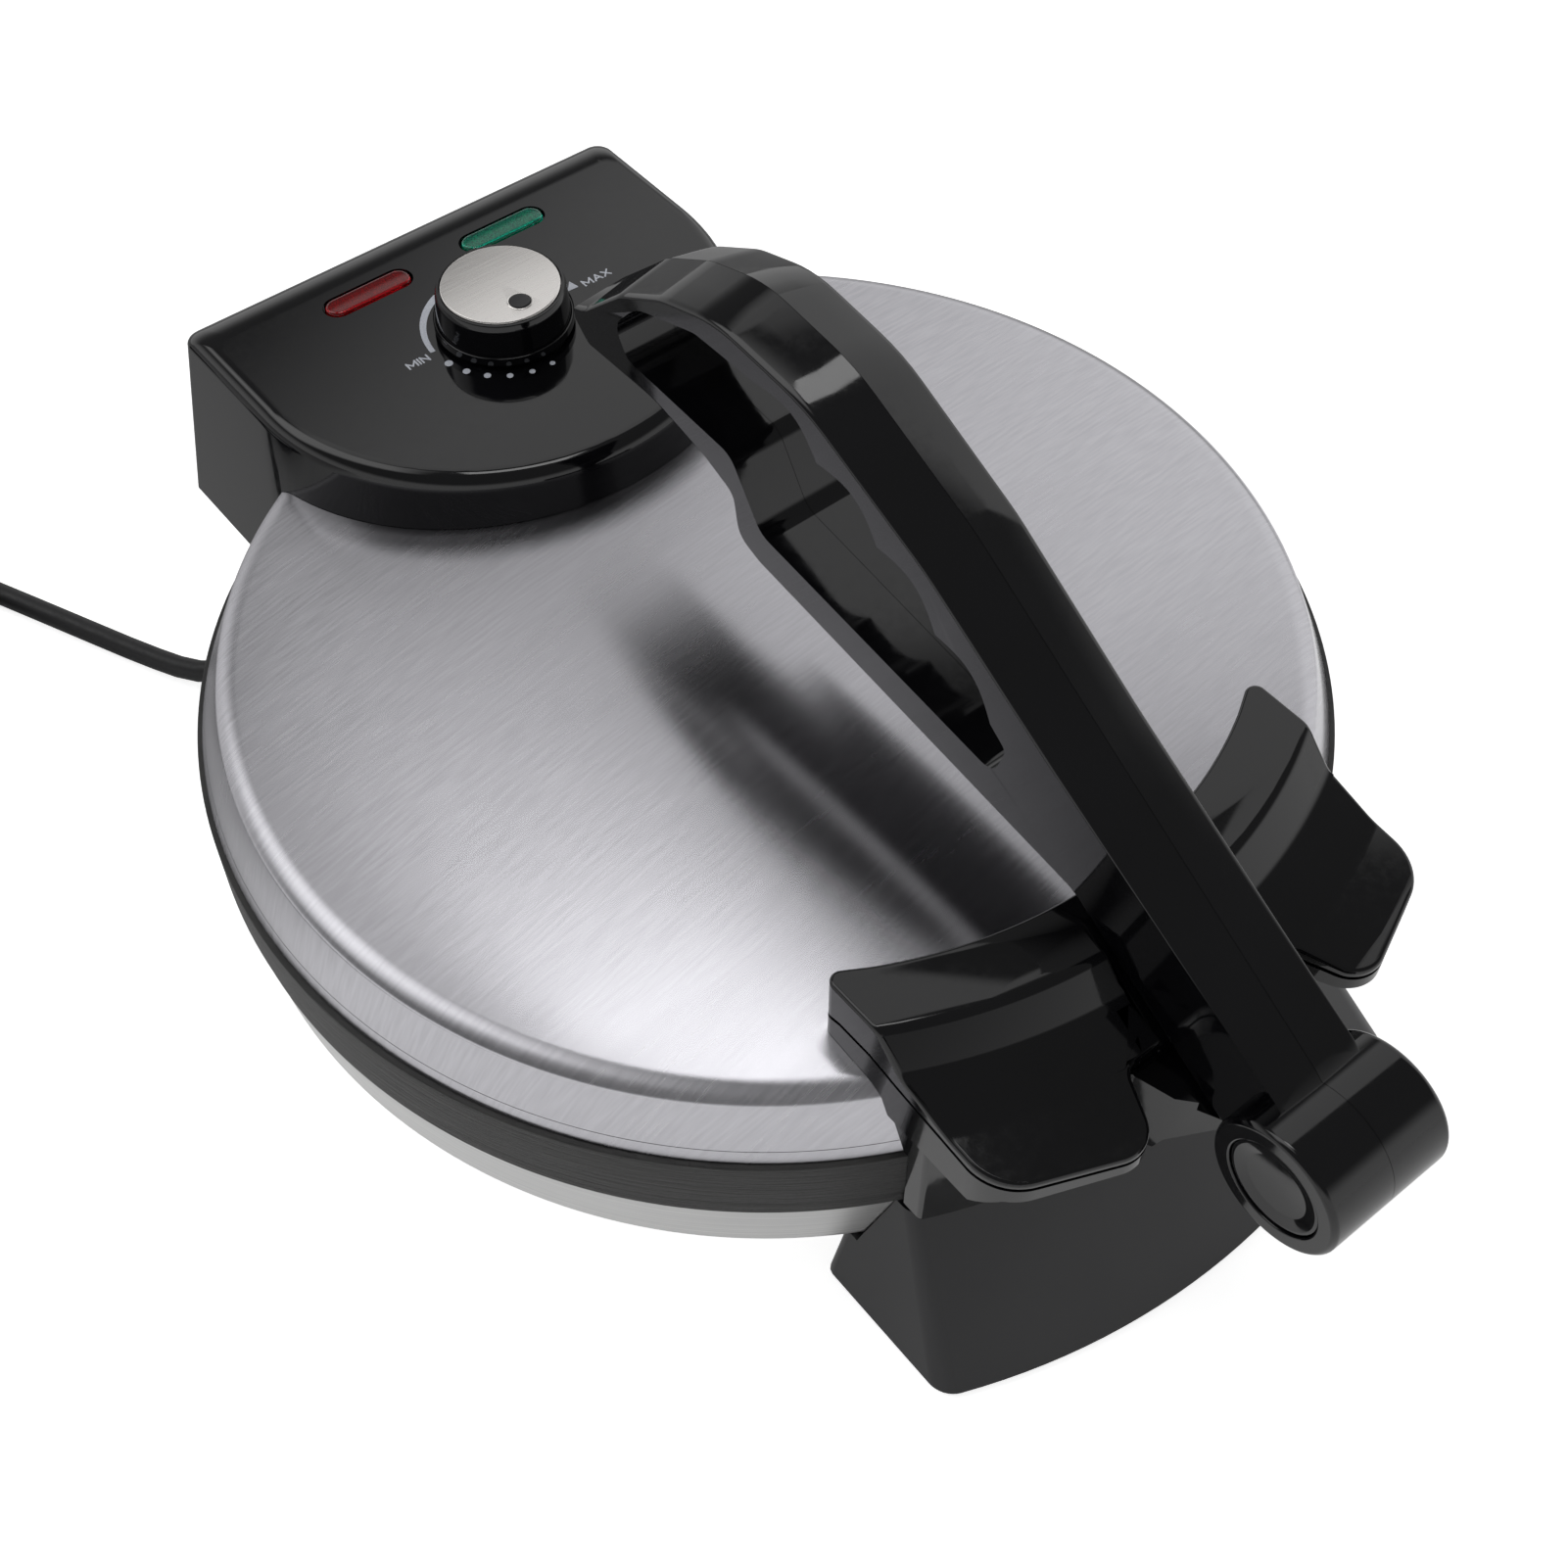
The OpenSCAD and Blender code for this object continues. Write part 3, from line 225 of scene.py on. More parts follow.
def makeCamera(fit):
    az, el, roll = (math.radians(fit[k]) for k in ("azimuth", "elevation", "roll"))
    back = Vector((math.sin(az) * math.cos(el), -math.cos(az) * math.cos(el), math.sin(el)))
    right = Vector((math.cos(az), math.sin(az), 0))
    up = back.cross(right)
    turnedRight = right * math.cos(roll) + up * math.sin(roll)
    turnedUp = back.cross(turnedRight)
    place = Vector(fit["target"]) + Vector((0, lidY, 0)) + back * fit["distance"]
    data = bpy.data.cameras.new("photo_camera")
    camera = bpy.data.objects.new("photo_camera", data)
    scene.collection.objects.link(camera)
    turn = Matrix((turnedRight, turnedUp, back)).transposed()
    camera.matrix_world = Matrix.Translation(place * mm) @ turn.to_4x4()
    size = fit["pictureSize"]
    data.sensor_width = 36.0
    data.sensor_fit = "HORIZONTAL"
    data.lens = fit["focalPixels"] / size * 36.0
    data.shift_x = -(fit["centre"][0] - size / 2) / size
    data.shift_y = (fit["centre"][1] - size / 2) / size
    data.clip_start = 0.02
    data.clip_end = 50.0
    scene.camera = camera


makeCamera(cameraFit)

mainsLead = {
    "diameter": 7.2,
    "route": [(-83, 160, 11), (-90, 160.3, 10.6), (-98, 162.3, 9.6), (-106, 167, 8), (-112, 173.6, 6.2),
              (-115.8, 180.5, 4.9), (-119.5, 188.6, 4.1), (-124.3, 199, 3.8), (-129.1, 209.6, 3.8),
              (-133.6, 219.6, 3.8), (-138.2, 229.8, 3.8), (-142.6, 239.5, 3.8), (-147.2, 249.6, 3.8),
              (-151.6, 259.2, 3.8), (-156.2, 269.4, 3.8), (-160.8, 279.4, 3.8), (-165.1, 289, 3.8)],
    "tail": [(-170, 299.5, 12), (-175.6, 311.7, 14.8), (-181, 323.4, 17.6), (-184.4, 330.9, 18.6),
             (-187.6, 337.9, 18.7)],
    "coilCentre": (-208.6, 269.2), "coilStart": 24.5, "coilRadius": 40.0, "coilTurns": 4,
    "coilPitch": 7.8, "coilSteps": 24,
}


# The coil spirals in on the table, climbs a layer and spirals out on top.
def coilPath(lead):
    points = []
    half = lead["coilTurns"] / 2
    for k in range(lead["coilTurns"] * lead["coilSteps"] + 1):
        t = k / lead["coilSteps"]
        r = lead["coilRadius"] + lead["coilPitch"] * (abs(t - half) - half / 2)
        a = math.radians(lead["coilStart"] + 360 * t)
        s = t - half + 0.5
        rise = 0 if s < 0.25 else 1 if s > 0.75 else 0.5 - 0.5 * math.cos(math.radians((s - 0.25) * 360))
        points.append((lead["coilCentre"][0] + r * math.cos(a), lead["coilCentre"][1] + r * math.sin(a),
                       lead["route"][-1][2] + lead["coilPitch"] * rise))
    return points


leadPath = [Vector(p) * mm for p in mainsLead["route"][:-1] + coilPath(mainsLead) + mainsLead["tail"]]


def makeLead(path, lead):
    curve = bpy.data.curves.new("mains_lead", "CURVE")
    curve.dimensions = "3D"
    spline = curve.splines.new("POLY")
    spline.points.add(len(path) - 1)
    for point, place in zip(spline.points, path):
        point.co = (*place, 1)
        point.radius = lead["diameter"] / 2 * mm  # the curve's own box is grown by this
    curve.bevel_depth = 1.0  # times each point's radius
    curve.bevel_resolution = 5
    curve.use_fill_caps = True
    obj = bpy.data.objects.new("mains_lead", curve)
    scene.collection.objects.link(obj)
    return obj


leadObject = makeLead(leadPath, mainsLead)
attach(leadObject, "base")
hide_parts("cord", "cord_coil")


# One node with its settings, its values and the sockets that feed it.
def addNode(tree, kind, settings=None, values=None, links=None):
    node = tree.nodes.new(kind)
    for key, value in (settings or {}).items():
        setattr(node, key, value)
    for key, value in (values or {}).items():
        node.inputs[key].default_value = value
    for key, source in (links or {}).items():
        tree.links.new(source, node.inputs[key])
    return node


def newMaterial(name, colour, metallic=0.0, roughness=0.5, **sockets):
    material = bpy.data.materials.new(name)
    material.use_nodes = True
    tree = material.node_tree
    shader = tree.nodes["Principled BSDF"]
    shader.inputs["Base Color"].default_value = linearColour(colour)
    shader.inputs["Metallic"].default_value = metallic
    shader.inputs["Roughness"].default_value = roughness
    for key, value in sockets.items():
        shader.inputs[key.replace("_", " ")].default_value = value
    return material, tree, shader


# Object coordinates, moved and stretched; scale counts how many features fit in a metre.
def spots(tree, scale, centre=(0, 0, 0), turn=(0, 0, 0)):
    place = addNode(tree, "ShaderNodeTexCoord")
    moved = addNode(tree, "ShaderNodeMapping", {"vector_type": "POINT"},
                    {"Location": [-c for c in centre]}, {"Vector": place.outputs["Object"]})
    return addNode(tree, "ShaderNodeMapping", {"vector_type": "POINT"}, {"Scale": scale, "Rotation": turn},
                   {"Vector": moved.outputs["Vector"]}).outputs["Vector"]


def noiseAt(tree, vector, scale=1.0, detail=2.0, rough=0.5):
    return addNode(tree, "ShaderNodeTexNoise", None, {"Scale": scale, "Detail": detail, "Roughness": rough},
                   {"Vector": vector}).outputs["Fac"]


def mapTo(tree, source, low, high, fromLow=0.3, fromHigh=0.7):
    return addNode(tree, "ShaderNodeMapRange", None,
                   {"From Min": fromLow, "From Max": fromHigh, "To Min": low, "To Max": high},
                   {"Value": source}).outputs["Result"]


def mixColours(tree, factor, first, second):
    node = addNode(tree, "ShaderNodeMix", {"data_type": "RGBA"}, None, {"Factor": factor})
    node.inputs[6].default_value = linearColour(first)
    node.inputs[7].default_value = linearColour(second)
    return node.outputs[2]


def bumpOn(tree, shader, height, strength, distance, before=None):
    links = {"Height": height}
    if before:
        links["Normal"] = before
    bump = addNode(tree, "ShaderNodeBump", None, {"Strength": strength, "Distance": distance}, links)
    tree.links.new(bump.outputs["Normal"], shader.inputs["Normal"])
    return bump.outputs["Normal"]


# Distances round the lid's axis, up it and out from it, in metres, for turned surfaces.
def aroundAxis(tree, radius, scale):
    place = addNode(tree, "ShaderNodeTexCoord").outputs["Object"]
    moved = addNode(tree, "ShaderNodeMapping", {"vector_type": "POINT"}, {"Location": (0, -lidY * mm, 0)},
                    {"Vector": place})
    parts = addNode(tree, "ShaderNodeSeparateXYZ", None, None, {"Vector": moved.outputs["Vector"]})
    angle = addNode(tree, "ShaderNodeMath", {"operation": "ARCTAN2"}, None,
                    {0: parts.outputs["Y"], 1: parts.outputs["X"]})
    arc = addNode(tree, "ShaderNodeMath", {"operation": "MULTIPLY"}, {1: radius}, {0: angle.outputs[0]})
    flat = addNode(tree, "ShaderNodeCombineXYZ", None, None, {"X": parts.outputs["X"], "Y": parts.outputs["Y"]})
    out = addNode(tree, "ShaderNodeVectorMath", {"operation": "LENGTH"}, None, {0: flat.outputs[0]})
    joined = addNode(tree, "ShaderNodeCombineXYZ", None, None,
                     {"X": arc.outputs[0], "Y": parts.outputs["Z"], "Z": out.outputs["Value"]})
    return addNode(tree, "ShaderNodeMapping", {"vector_type": "POINT"}, {"Scale": scale},
                   {"Vector": joined.outputs[0]}).outputs["Vector"]


# The lid's own map, in metres on its flat blank: u across the brushing, v along it.
def grainMap(tree, across, along):
    place = addNode(tree, "ShaderNodeUVMap", {"uv_map": "grain"})
    return addNode(tree, "ShaderNodeMapping", {"vector_type": "POINT"}, {"Scale": (across, along, 1)},
                   {"Vector": place.outputs["UV"]}).outputs["Vector"]


# Stainless sheet, brushed before it was pressed: reflections smear across the lines. The real lines are about
# 0.3 mm wide; they are drawn 1 mm wide so that they show.
def brushedLidSteel():
    material, tree, shader = newMaterial("stainless_sheet_brushed", "#c6c6c6", 1.0, 0.25)
    shader.inputs["Anisotropic"].default_value = 0.93
    tangent = addNode(tree, "ShaderNodeTangent", {"direction_type": "UV_MAP", "uv_map": "grain"})
    tree.links.new(tangent.outputs[0], shader.inputs["Tangent"])
    fine = noiseAt(tree, grainMap(tree, 1000, 80), 1.0, 1.0, 0.5)
    cloud = noiseAt(tree, grainMap(tree, 40, 9), 1.0, 3.0, 0.55)
    tint = mixColours(tree, mapTo(tree, fine, 0, 1, 0.3, 0.7), "#c1c0c5", "#cbcacf")
    tree.links.new(tint, shader.inputs["Base Color"])
    rough = addNode(tree, "ShaderNodeMath", {"operation": "ADD"}, None,
                    {0: mapTo(tree, fine, 0.235, 0.255), 1: mapTo(tree, cloud, 0.0, 0.03)})
    tree.links.new(rough.outputs[0], shader.inputs["Roughness"])
    return material


# Spun sheet steel with a satin polish round the axis.
def satinPanSteel():
    material, tree, shader = newMaterial("stainless_sheet_satin", "#cfcfce", 1.0, 0.34)
    streaks = noiseAt(tree, aroundAxis(tree, 0.159, (12, 1400, 1400)), 1.0, 3.0, 0.6)
    tree.links.new(mixColours(tree, mapTo(tree, streaks, 0, 1), "#c4c4c4", "#dadad9"),
                   shader.inputs["Base Color"])
    tree.links.new(mapTo(tree, streaks, 0.3, 0.42), shader.inputs["Roughness"])
    bumpOn(tree, shader, streaks, 0.1, 0.00005)
    return material


# Cast aluminium plate with a black non-stick coat; its turned edge shows torn, layered tool marks.
def coatedCastAluminium():
    material, tree, shader = newMaterial("cast_aluminium_nonstick", "#1a1a1c", 0.0, 0.5)
    torn = noiseAt(tree, aroundAxis(tree, 0.161, (34, 700, 60)), 1.0, 5.0, 0.68)
    grit = noiseAt(tree, spots(tree, (900, 900, 900)), 1.0, 2.0, 0.5)
    tree.links.new(mixColours(tree, mapTo(tree, torn, 0, 1, 0.35, 0.72), "#0c0c0d", "#3c3b3a"),
                   shader.inputs["Base Color"])
    tree.links.new(mapTo(tree, torn, 0.42, 0.62), shader.inputs["Roughness"])
    first = bumpOn(tree, shader, torn, 0.9, 0.0012)
    bumpOn(tree, shader, grit, 0.15, 0.00012, first)
    return material


# Black ABS from a polished mould: mirror gloss with a faint flow ripple and dust-fine scuffs.
def polishedBlackAbs():
    material, tree, shader = newMaterial("abs_black_polished", "#08080a", 0.0, 0.1)
    shader.inputs["IOR"].default_value = 1.54
    ripple = noiseAt(tree, spots(tree, (24, 24, 24)), 1.0, 2.0, 0.5)
    scuff = noiseAt(tree, spots(tree, (300, 300, 300)), 1.0, 5.0, 0.72)
    tree.links.new(mapTo(tree, scuff, 0.05, 0.12, 0.4, 0.75), shader.inputs["Roughness"])
    tree.links.new(mixColours(tree, mapTo(tree, ripple, 0, 1), "#070709", "#0c0c0f"),
                   shader.inputs["Base Color"])
    bumpOn(tree, shader, ripple, 0.03, 0.0005)
    return material


# Black ABS with a fine spark-eroded mould texture, about 0.3 mm: a soft even sheen.
def satinBlackAbs():
    material, tree, shader = newMaterial("abs_black_satin", "#17171a", 0.0, 0.36)
    shader.inputs["IOR"].default_value = 1.53
    grain = noiseAt(tree, spots(tree, (1700, 1700, 1700)), 1.0, 2.0, 0.5)
    cloud = noiseAt(tree, spots(tree, (30, 30, 30)), 1.0, 2.0, 0.5)
    tree.links.new(mapTo(tree, cloud, 0.32, 0.4), shader.inputs["Roughness"])
    tree.links.new(mixColours(tree, mapTo(tree, cloud, 0, 1), "#151518", "#1b1b1e"),
                   shader.inputs["Base Color"])
    bumpOn(tree, shader, grain, 0.12, 0.00008)
    return material


# Steel disc with a very fine satin, bonded into the knob.
def brushedDiscSteel():
    material, tree, shader = newMaterial("steel_disc_brushed", "#c9c6c3", 1.0, 0.32)
    fine = noiseAt(tree, spots(tree, (60, 2600, 2600)), 1.0, 2.0, 0.5)
    tree.links.new(mixColours(tree, mapTo(tree, fine, 0, 1), "#e0ddda", "#e7e4e1"), shader.inputs["Base Color"])
    tree.links.new(mapTo(tree, fine, 0.26, 0.31), shader.inputs["Roughness"])
    bumpOn(tree, shader, fine, 0.03, 0.00001)
    return material


# Clear tinted acrylic, moulded: smooth outside, so the prisms below it glitter.
def lensAcrylic(name, colour):
    material, tree, shader = newMaterial(name, colour, 0.0, 0.06)
    shader.inputs["Transmission Weight"].default_value = 0.85
    shader.inputs["IOR"].default_value = 1.49
    haze = noiseAt(tree, spots(tree, (260, 260, 260)), 1.0, 2.0, 0.5)
    tree.links.new(mapTo(tree, haze, 0.02, 0.06), shader.inputs["Roughness"])
    bumpOn(tree, shader, haze, 0.02, 0.0002)
    return material


# The prisms in the lens: the same acrylic in deeper colour, painted lighter in the middle of each small cell as
# painted glints for the facets catching light.
def prismAcrylic(name, dark, light):
    material, tree, shader = newMaterial(name, dark, 0.0, 0.18)
    shader.inputs["IOR"].default_value = 1.49
    cells = addNode(tree, "ShaderNodeTexVoronoi", {"feature": "F1"}, {"Scale": 1.0},
                    {"Vector": spots(tree, (620, 620, 620))})
    # Painted highlight: the light colour at each cell's middle fades to the dark one at its edge.
    tree.links.new(mixColours(tree, mapTo(tree, cells.outputs["Distance"], 0, 1, 0.1, 0.75), light, dark),
                   shader.inputs["Base Color"])
    bumpOn(tree, shader, cells.outputs["Distance"], 0.5, 0.0006)
    return material


# Screen-printed white ink, matt and very slightly uneven.
def whiteInk():
    material, tree, shader = newMaterial("ink_white_printed", "#d4d8e2", 0.0, 0.5)
    grain = noiseAt(tree, spots(tree, (2500, 2500, 2500)), 1.0, 2.0, 0.5)
    tree.links.new(mixColours(tree, mapTo(tree, grain, 0, 1), "#c6cad6", "#dfe3ea"), shader.inputs["Base Color"])
    return material


# Extruded PVC sheath, matt black with a trace of a pulled surface.
def pvcSheath():
    material, tree, shader = newMaterial("pvc_sheath_black", "#121214", 0.0, 0.46)
    grain = noiseAt(tree, spots(tree, (900, 900, 900)), 1.0, 3.0, 0.6)
    tree.links.new(mapTo(tree, grain, 0.4, 0.56), shader.inputs["Roughness"])
    bumpOn(tree, shader, grain, 0.12, 0.0001)
    return material


# Zinc-plated and bright steel of screws, rods and brackets: grey, with cloudy passivation.
def zincSteel():
    material, tree, shader = newMaterial("steel_zinc_plated", "#aeb1b4", 1.0, 0.32)
    cloud = noiseAt(tree, spots(tree, (160, 160, 160)), 1.0, 4.0, 0.6)
    tree.links.new(mixColours(tree, mapTo(tree, cloud, 0, 1), "#9da0a3", "#bfc1c2"), shader.inputs["Base Color"])
    tree.links.new(mapTo(tree, cloud, 0.26, 0.42), shader.inputs["Roughness"])
    return material


# Plain materials that differ only in colour, gloss and the size of their grain.
def grainyMaterial(name, dark, light, metallic, roughness, grainPerMetre, bump, **sockets):
    material, tree, shader = newMaterial(name, dark, metallic, roughness, **sockets)
    grain = noiseAt(tree, spots(tree, (grainPerMetre,) * 3), 1.0, 4.0, 0.6)
    tree.links.new(mixColours(tree, mapTo(tree, grain, 0, 1), dark, light), shader.inputs["Base Color"])
    tree.links.new(mapTo(tree, grain, roughness - 0.06, roughness + 0.06), shader.inputs["Roughness"])
    bumpOn(tree, shader, grain, bump, 0.0001)
    return material


steelLid = brushedLidSteel()
steelPan = satinPanSteel()
castPlate = coatedCastAluminium()
glossAbs = polishedBlackAbs()
satinAbs = satinBlackAbs()
steelDisc = brushedDiscSteel()
redAcrylic = lensAcrylic("acrylic_red_clear", "#c4101c")
greenAcrylic = lensAcrylic("acrylic_green_clear", "#0fb89a")
# The lighter colour of each prism material is its painted glint.
redPrisms = prismAcrylic("acrylic_red_prisms", "#320305", "#8c1018")
greenPrisms = prismAcrylic("acrylic_green_prisms", "#033f33", "#3cc4a8")
inkWhite = whiteInk()
sheath = pvcSheath()
zinc = zincSteel()
rubber = grainyMaterial("rubber_black_moulded", "#161616", "#202020", 0.0, 0.7, 700, 0.3)
steatite = grainyMaterial("steatite_ceramic", "#d8d2c4", "#e9e4d8", 0.0, 0.55, 500, 0.2)
heaterTube = grainyMaterial("steel_tube_oxidised", "#4d4a45", "#6f6a62", 0.85, 0.5, 300, 0.25)
nickelBrass = grainyMaterial("brass_nickel_plated", "#bdb9ae", "#d2cec3", 1.0, 0.25, 250, 0.05)
lampGlass = grainyMaterial("glass_neon_lamp", "#e8cdb0", "#f2ddc6", 0.0, 0.12, 200, 0.02,
                           Transmission_Weight=0.6)
leadObject.data.materials.append(sheath)
print("materials made")


# Flat faces keep flat shading next to their rounded edges.
def evenNormals(obj):
    step = obj.modifiers.new("normals", "WEIGHTED_NORMAL")
    step.keep_sharp = True
    step.weight = 50
    bake(obj)


def mergeMeshes(parts):
    whole = bmesh.new()
    for bm in parts:
        mesh = bpy.data.meshes.new("part")
        bm.to_mesh(mesh)
        bm.free()
        whole.from_mesh(mesh)
        bpy.data.meshes.remove(mesh)
    return whole


def moved(bm, vec):
    bmesh.ops.translate(bm, vec=Vector(vec), verts=bm.verts)
    return bm


def mirrored(bm, axis=0):
    scaleBy = Vector((1, 1, 1))
    scaleBy[axis] = -1
    bmesh.ops.scale(bm, vec=scaleBy, verts=bm.verts)
    bmesh.ops.reverse_faces(bm, faces=bm.faces)
    return bm


lid = {
    "radius": 160.0, "crownZ": 97.0, "skirtZ": 68.5, "wallZ": 69.3, "sheet": 1.0, "seat": 0.2, "steps": 240,
    "grainTurn": 6.0,
    "bends": [(1187.56, 7.1, 14), (12.5, 38.0, 10), (2.2, 66.0, 6)],
}
plates = {
    "splitZ": 50.2, "gap": 0.6, "thick": 6.0, "upperRadius": 161.6, "lowerRadius": 160.6, "panTop": 43.5,
    "rounding": 0.9,
}
pan = {"radius": 159.3, "floorRadius": 157.9, "floorZ": 19.2, "corner": 6.0, "sheet": 1.0, "hem": 0.5}


# Outer line of the lid from its centre down its wall, moved out by grow. Each bend has a radius, the
# slope in degrees at its end and its number of steps: the dome, a soft shoulder and the tight turn of the wall.
def lidLine(values, grow):
    points, slope = [], 0.0
    x, z = 0.0, values["crownZ"] - values["bends"][0][0]
    for i, (r, end, count) in enumerate(values["bends"]):
        points += arcPoints(x, z, r + grow, 90 - slope, 90 - end, count)[1 if i else 0:]
        slope = end
        if i + 1 < len(values["bends"]):
            step = r - values["bends"][i + 1][0]
            x += step * math.sin(math.radians(end))
            z += step * math.cos(math.radians(end))
    side = math.radians(slope)
    return points + [(values["radius"] + grow * math.sin(side), values["wallZ"] + grow * math.cos(side))]


# What the closed lid and the plates fill, for cutting the pieces that wrap them.
def lidSpace():
    seat, r = lid["seat"], lid["radius"]
    rim = plates["upperRadius"] + seat
    return spinLoop([(0, 0)] + lidLine(lid, seat) + [(r + seat, lid["skirtZ"] + seat),
                                                     (rim, lid["skirtZ"] + seat), (rim, 0)], lid["steps"])


def makeLid(values):
    r, z = values["radius"], values["skirtZ"]
    outline = (lidLine(values, 0) + [(r, z + 0.3), (r - 0.3, z), (r - values["sheet"], z)]
               + lidLine(values, -values["sheet"])[::-1])
    line = lidLine(values, 0) + [(r, z)]
    length = [0.0]
    for first, second in zip(line, line[1:]):
        length.append(length[-1] + math.dist(first, second))
    corner = line[values["bends"][0][2]][0]
    obj = asObject(spinLoop(outline, values["steps"], closed=False))
    grain = obj.data.uv_layers.new(name="grain")
    for loop in obj.data.loops:
        place = obj.data.vertices[loop.vertex_index].co
        out = math.hypot(place.x, place.y)
        flat = out
        if out > corner:
            k = min(range(len(line)), key=lambda i: math.dist(line[i], (out, place.z)))
            flat = length[k]
        grow = flat / out * mm if out > 1 else mm
        turn = math.radians(values["grainTurn"])
        grain.data[loop.index].uv = ((place.y * math.cos(turn) - place.x * math.sin(turn)) * grow,
                                     (place.x * math.cos(turn) + place.y * math.sin(turn)) * grow)
    return finishPiece(obj, "lid_dome", steelLid, "lid", ("lid_cover",))


# Round posts that carry the screws, standing on a plate.
def posts(places, r, low, high):
    return [rod((x, y, low), (x, y, high), r, 32) for x, y in places]


def makePlates(values):
    r, low, high = values["upperRadius"], values["splitZ"] + values["gap"] / 2, lid["skirtZ"]
    inner = lid["radius"] - lid["sheet"] - lid["seat"]
    c = values["rounding"]
    upper = roundedLoop([(0, low), (r, low), (r, high), (inner, high), (inner, high + 4),
                         (inner - 3.4, high + 4), (inner - 3.4, low + values["thick"]),
                         (0, low + values["thick"])], [0, c, 0.5, 0, 0.4, 0.4, 2, 0], 18)
    fixings = [(-38, -142), (38, -142), (-34, 112), (34, 112)]
    spun = [spinLoop(upper, lid["steps"], closed=False)] + posts(fixings, 5, low + 1, 88)
    finishPiece(mergeMeshes(spun), "upper_plate_turned", castPlate, "lid", ("upper_plate",))
    r, high = values["lowerRadius"], values["splitZ"] - values["gap"] / 2
    inner = pan["radius"] - pan["sheet"] - lid["seat"]
    lower = roundedLoop([(0, high - values["thick"]), (inner, high - values["thick"]),
                         (inner, values["panTop"]), (r, values["panTop"]), (r, high), (0, high)],
                        [0, 0, 0, 0.6, c, 0], 18)
    places = [(60 * math.cos(math.radians(a)), 60 * math.sin(math.radians(a))) for a in (30, 150, 270)]
    spun = [spinLoop(lower, lid["steps"], closed=False)] + posts(places, 6, 20.2, 38)
    finishPiece(mergeMeshes(spun), "lower_plate_turned", castPlate, "base", ("lower_plate",))


def makePan(values):
    r, low, t, c = values["radius"], values["floorZ"], values["sheet"], values["corner"]
    centre = values["floorRadius"] - c
    outline = ([(0, low)] + arcPoints(centre, low + c, c, -90, -4, 8)
               + [(r, plates["panTop"] - 0.2), (r - 0.2, plates["panTop"]), (r - t, plates["panTop"])]
               + arcPoints(centre, low + c, c - t, -4, -90, 8) + [(0, low + t)])
    obj = asObject(spinLoop(outline, lid["steps"], closed=False))
    holes = [(60 * math.cos(math.radians(a)), 60 * math.sin(math.radians(a)), 2.1) for a in (30, 150, 270)]
    holes += [(-44, -142, 2.1), (44, -142, 2.1), (-36, 108, 2.1), (36, 108, 2.1), (0, 122, 8)]
    carve(obj, [rod((x, y, low - 5), (x, y, low + 5), hole, 32) for x, y, hole in holes])
    return finishPiece(obj, "base_pan_spun", steelPan, "base", ("base_pan",), 30)


makeLid(lid)
makePlates(plates)
makePan(pan)
print("lid, plates and pan made")

housing = {
    "top": 111.3, "foot": 43.5, "halfWidth": 77.5, "frontCentre": 138.5, "rear": 185.0, "draft": 5.5,
    "rearDraft": 8.0, "edgeRadius": 5.4, "rearEdge": 14.0, "wall": 2.5, "cornerRadius": 5.0,
    "lensLength": 29.0, "lensWidth": 8.0, "lensPitch": 49.0, "lensY": 163.0, "knobY": 125.5,
    "boreRadius": 4.0, "notchWidth": 17.0, "notchX": 52.0, "softening": 0.45, "slotGap": 0.8,
}


def housingRings(values, wall):
    straight = values["top"] - values["edgeRadius"]
    top = values["top"] - wall
    half, rear = values["halfWidth"] - wall, values["rear"] - wall
    r = values["cornerRadius"] - 0.6 * wall
    levels = [(values["foot"] - (1 if wall else 0), half + values["draft"], rear + values["rearDraft"], 0.4 * r)]
    for a in range(0, 91, 9):
        sink = 1 - math.cos(math.radians(a))
        levels.append((straight + (top - straight) * math.sin(math.radians(a)),
                       half - (values["edgeRadius"] - wall) * sink, rear - (values["rearEdge"] - wall) * sink, r))
    rings = []
    mid = values["frontCentre"]
    for z, w, back, r in levels:
        plan = (arcPoints(0, mid, w, 180, 360, 72) + filletPoints((w, mid), (w, back), (0, back), r, 9.5)
                + filletPoints((0, back), (-w, back), (-w, mid), r, 9.5))
        rings.append([(x, y, z) for x, y in plan])
    return rings


def stadium(x, y, length, width, grow=0.0, count=16):
    reach, r = (length - width) / 2, width / 2 + grow
    return arcPoints(x + reach, y, r, -90, 90, count) + arcPoints(x - reach, y, r, 90, 270, count)


def makeHousing(values):
    obj = asObject(loft(housingRings(values, 0)))
    carve(obj, [loft(housingRings(values, values["wall"])), lidSpace(),
                rod((0, 0, 0), (0, 0, plates["splitZ"] + 1), plates["upperRadius"] + 1.6, 192),
                rod((0, values["knobY"], 100), (0, values["knobY"], 116), values["boreRadius"])])
    for side in (-1, 1):
        slot = stadium(side * values["lensPitch"] / 2, values["lensY"], values["lensLength"],
                       values["lensWidth"], values["slotGap"])
        x = side * values["notchX"]
        half = values["notchWidth"] / 2
        carve(obj, [prism(slot, 100, 116), box((x - half, 178, 40), (x + half, 210, 60))])
    softenEdges(obj, values["softening"], 3, 40)
    return finishPiece(obj, "control_housing_moulded", glossAbs, "lid",
                       ("control_housing",), 35)


evenNormals(makeHousing(housing))
print("housing made")

lens = {"topZ": 111.9, "edge": 1.3, "bottomZ": 109.6, "trayZ": 106.6, "prismSize": 1.45, "prismHeight": 0.75}


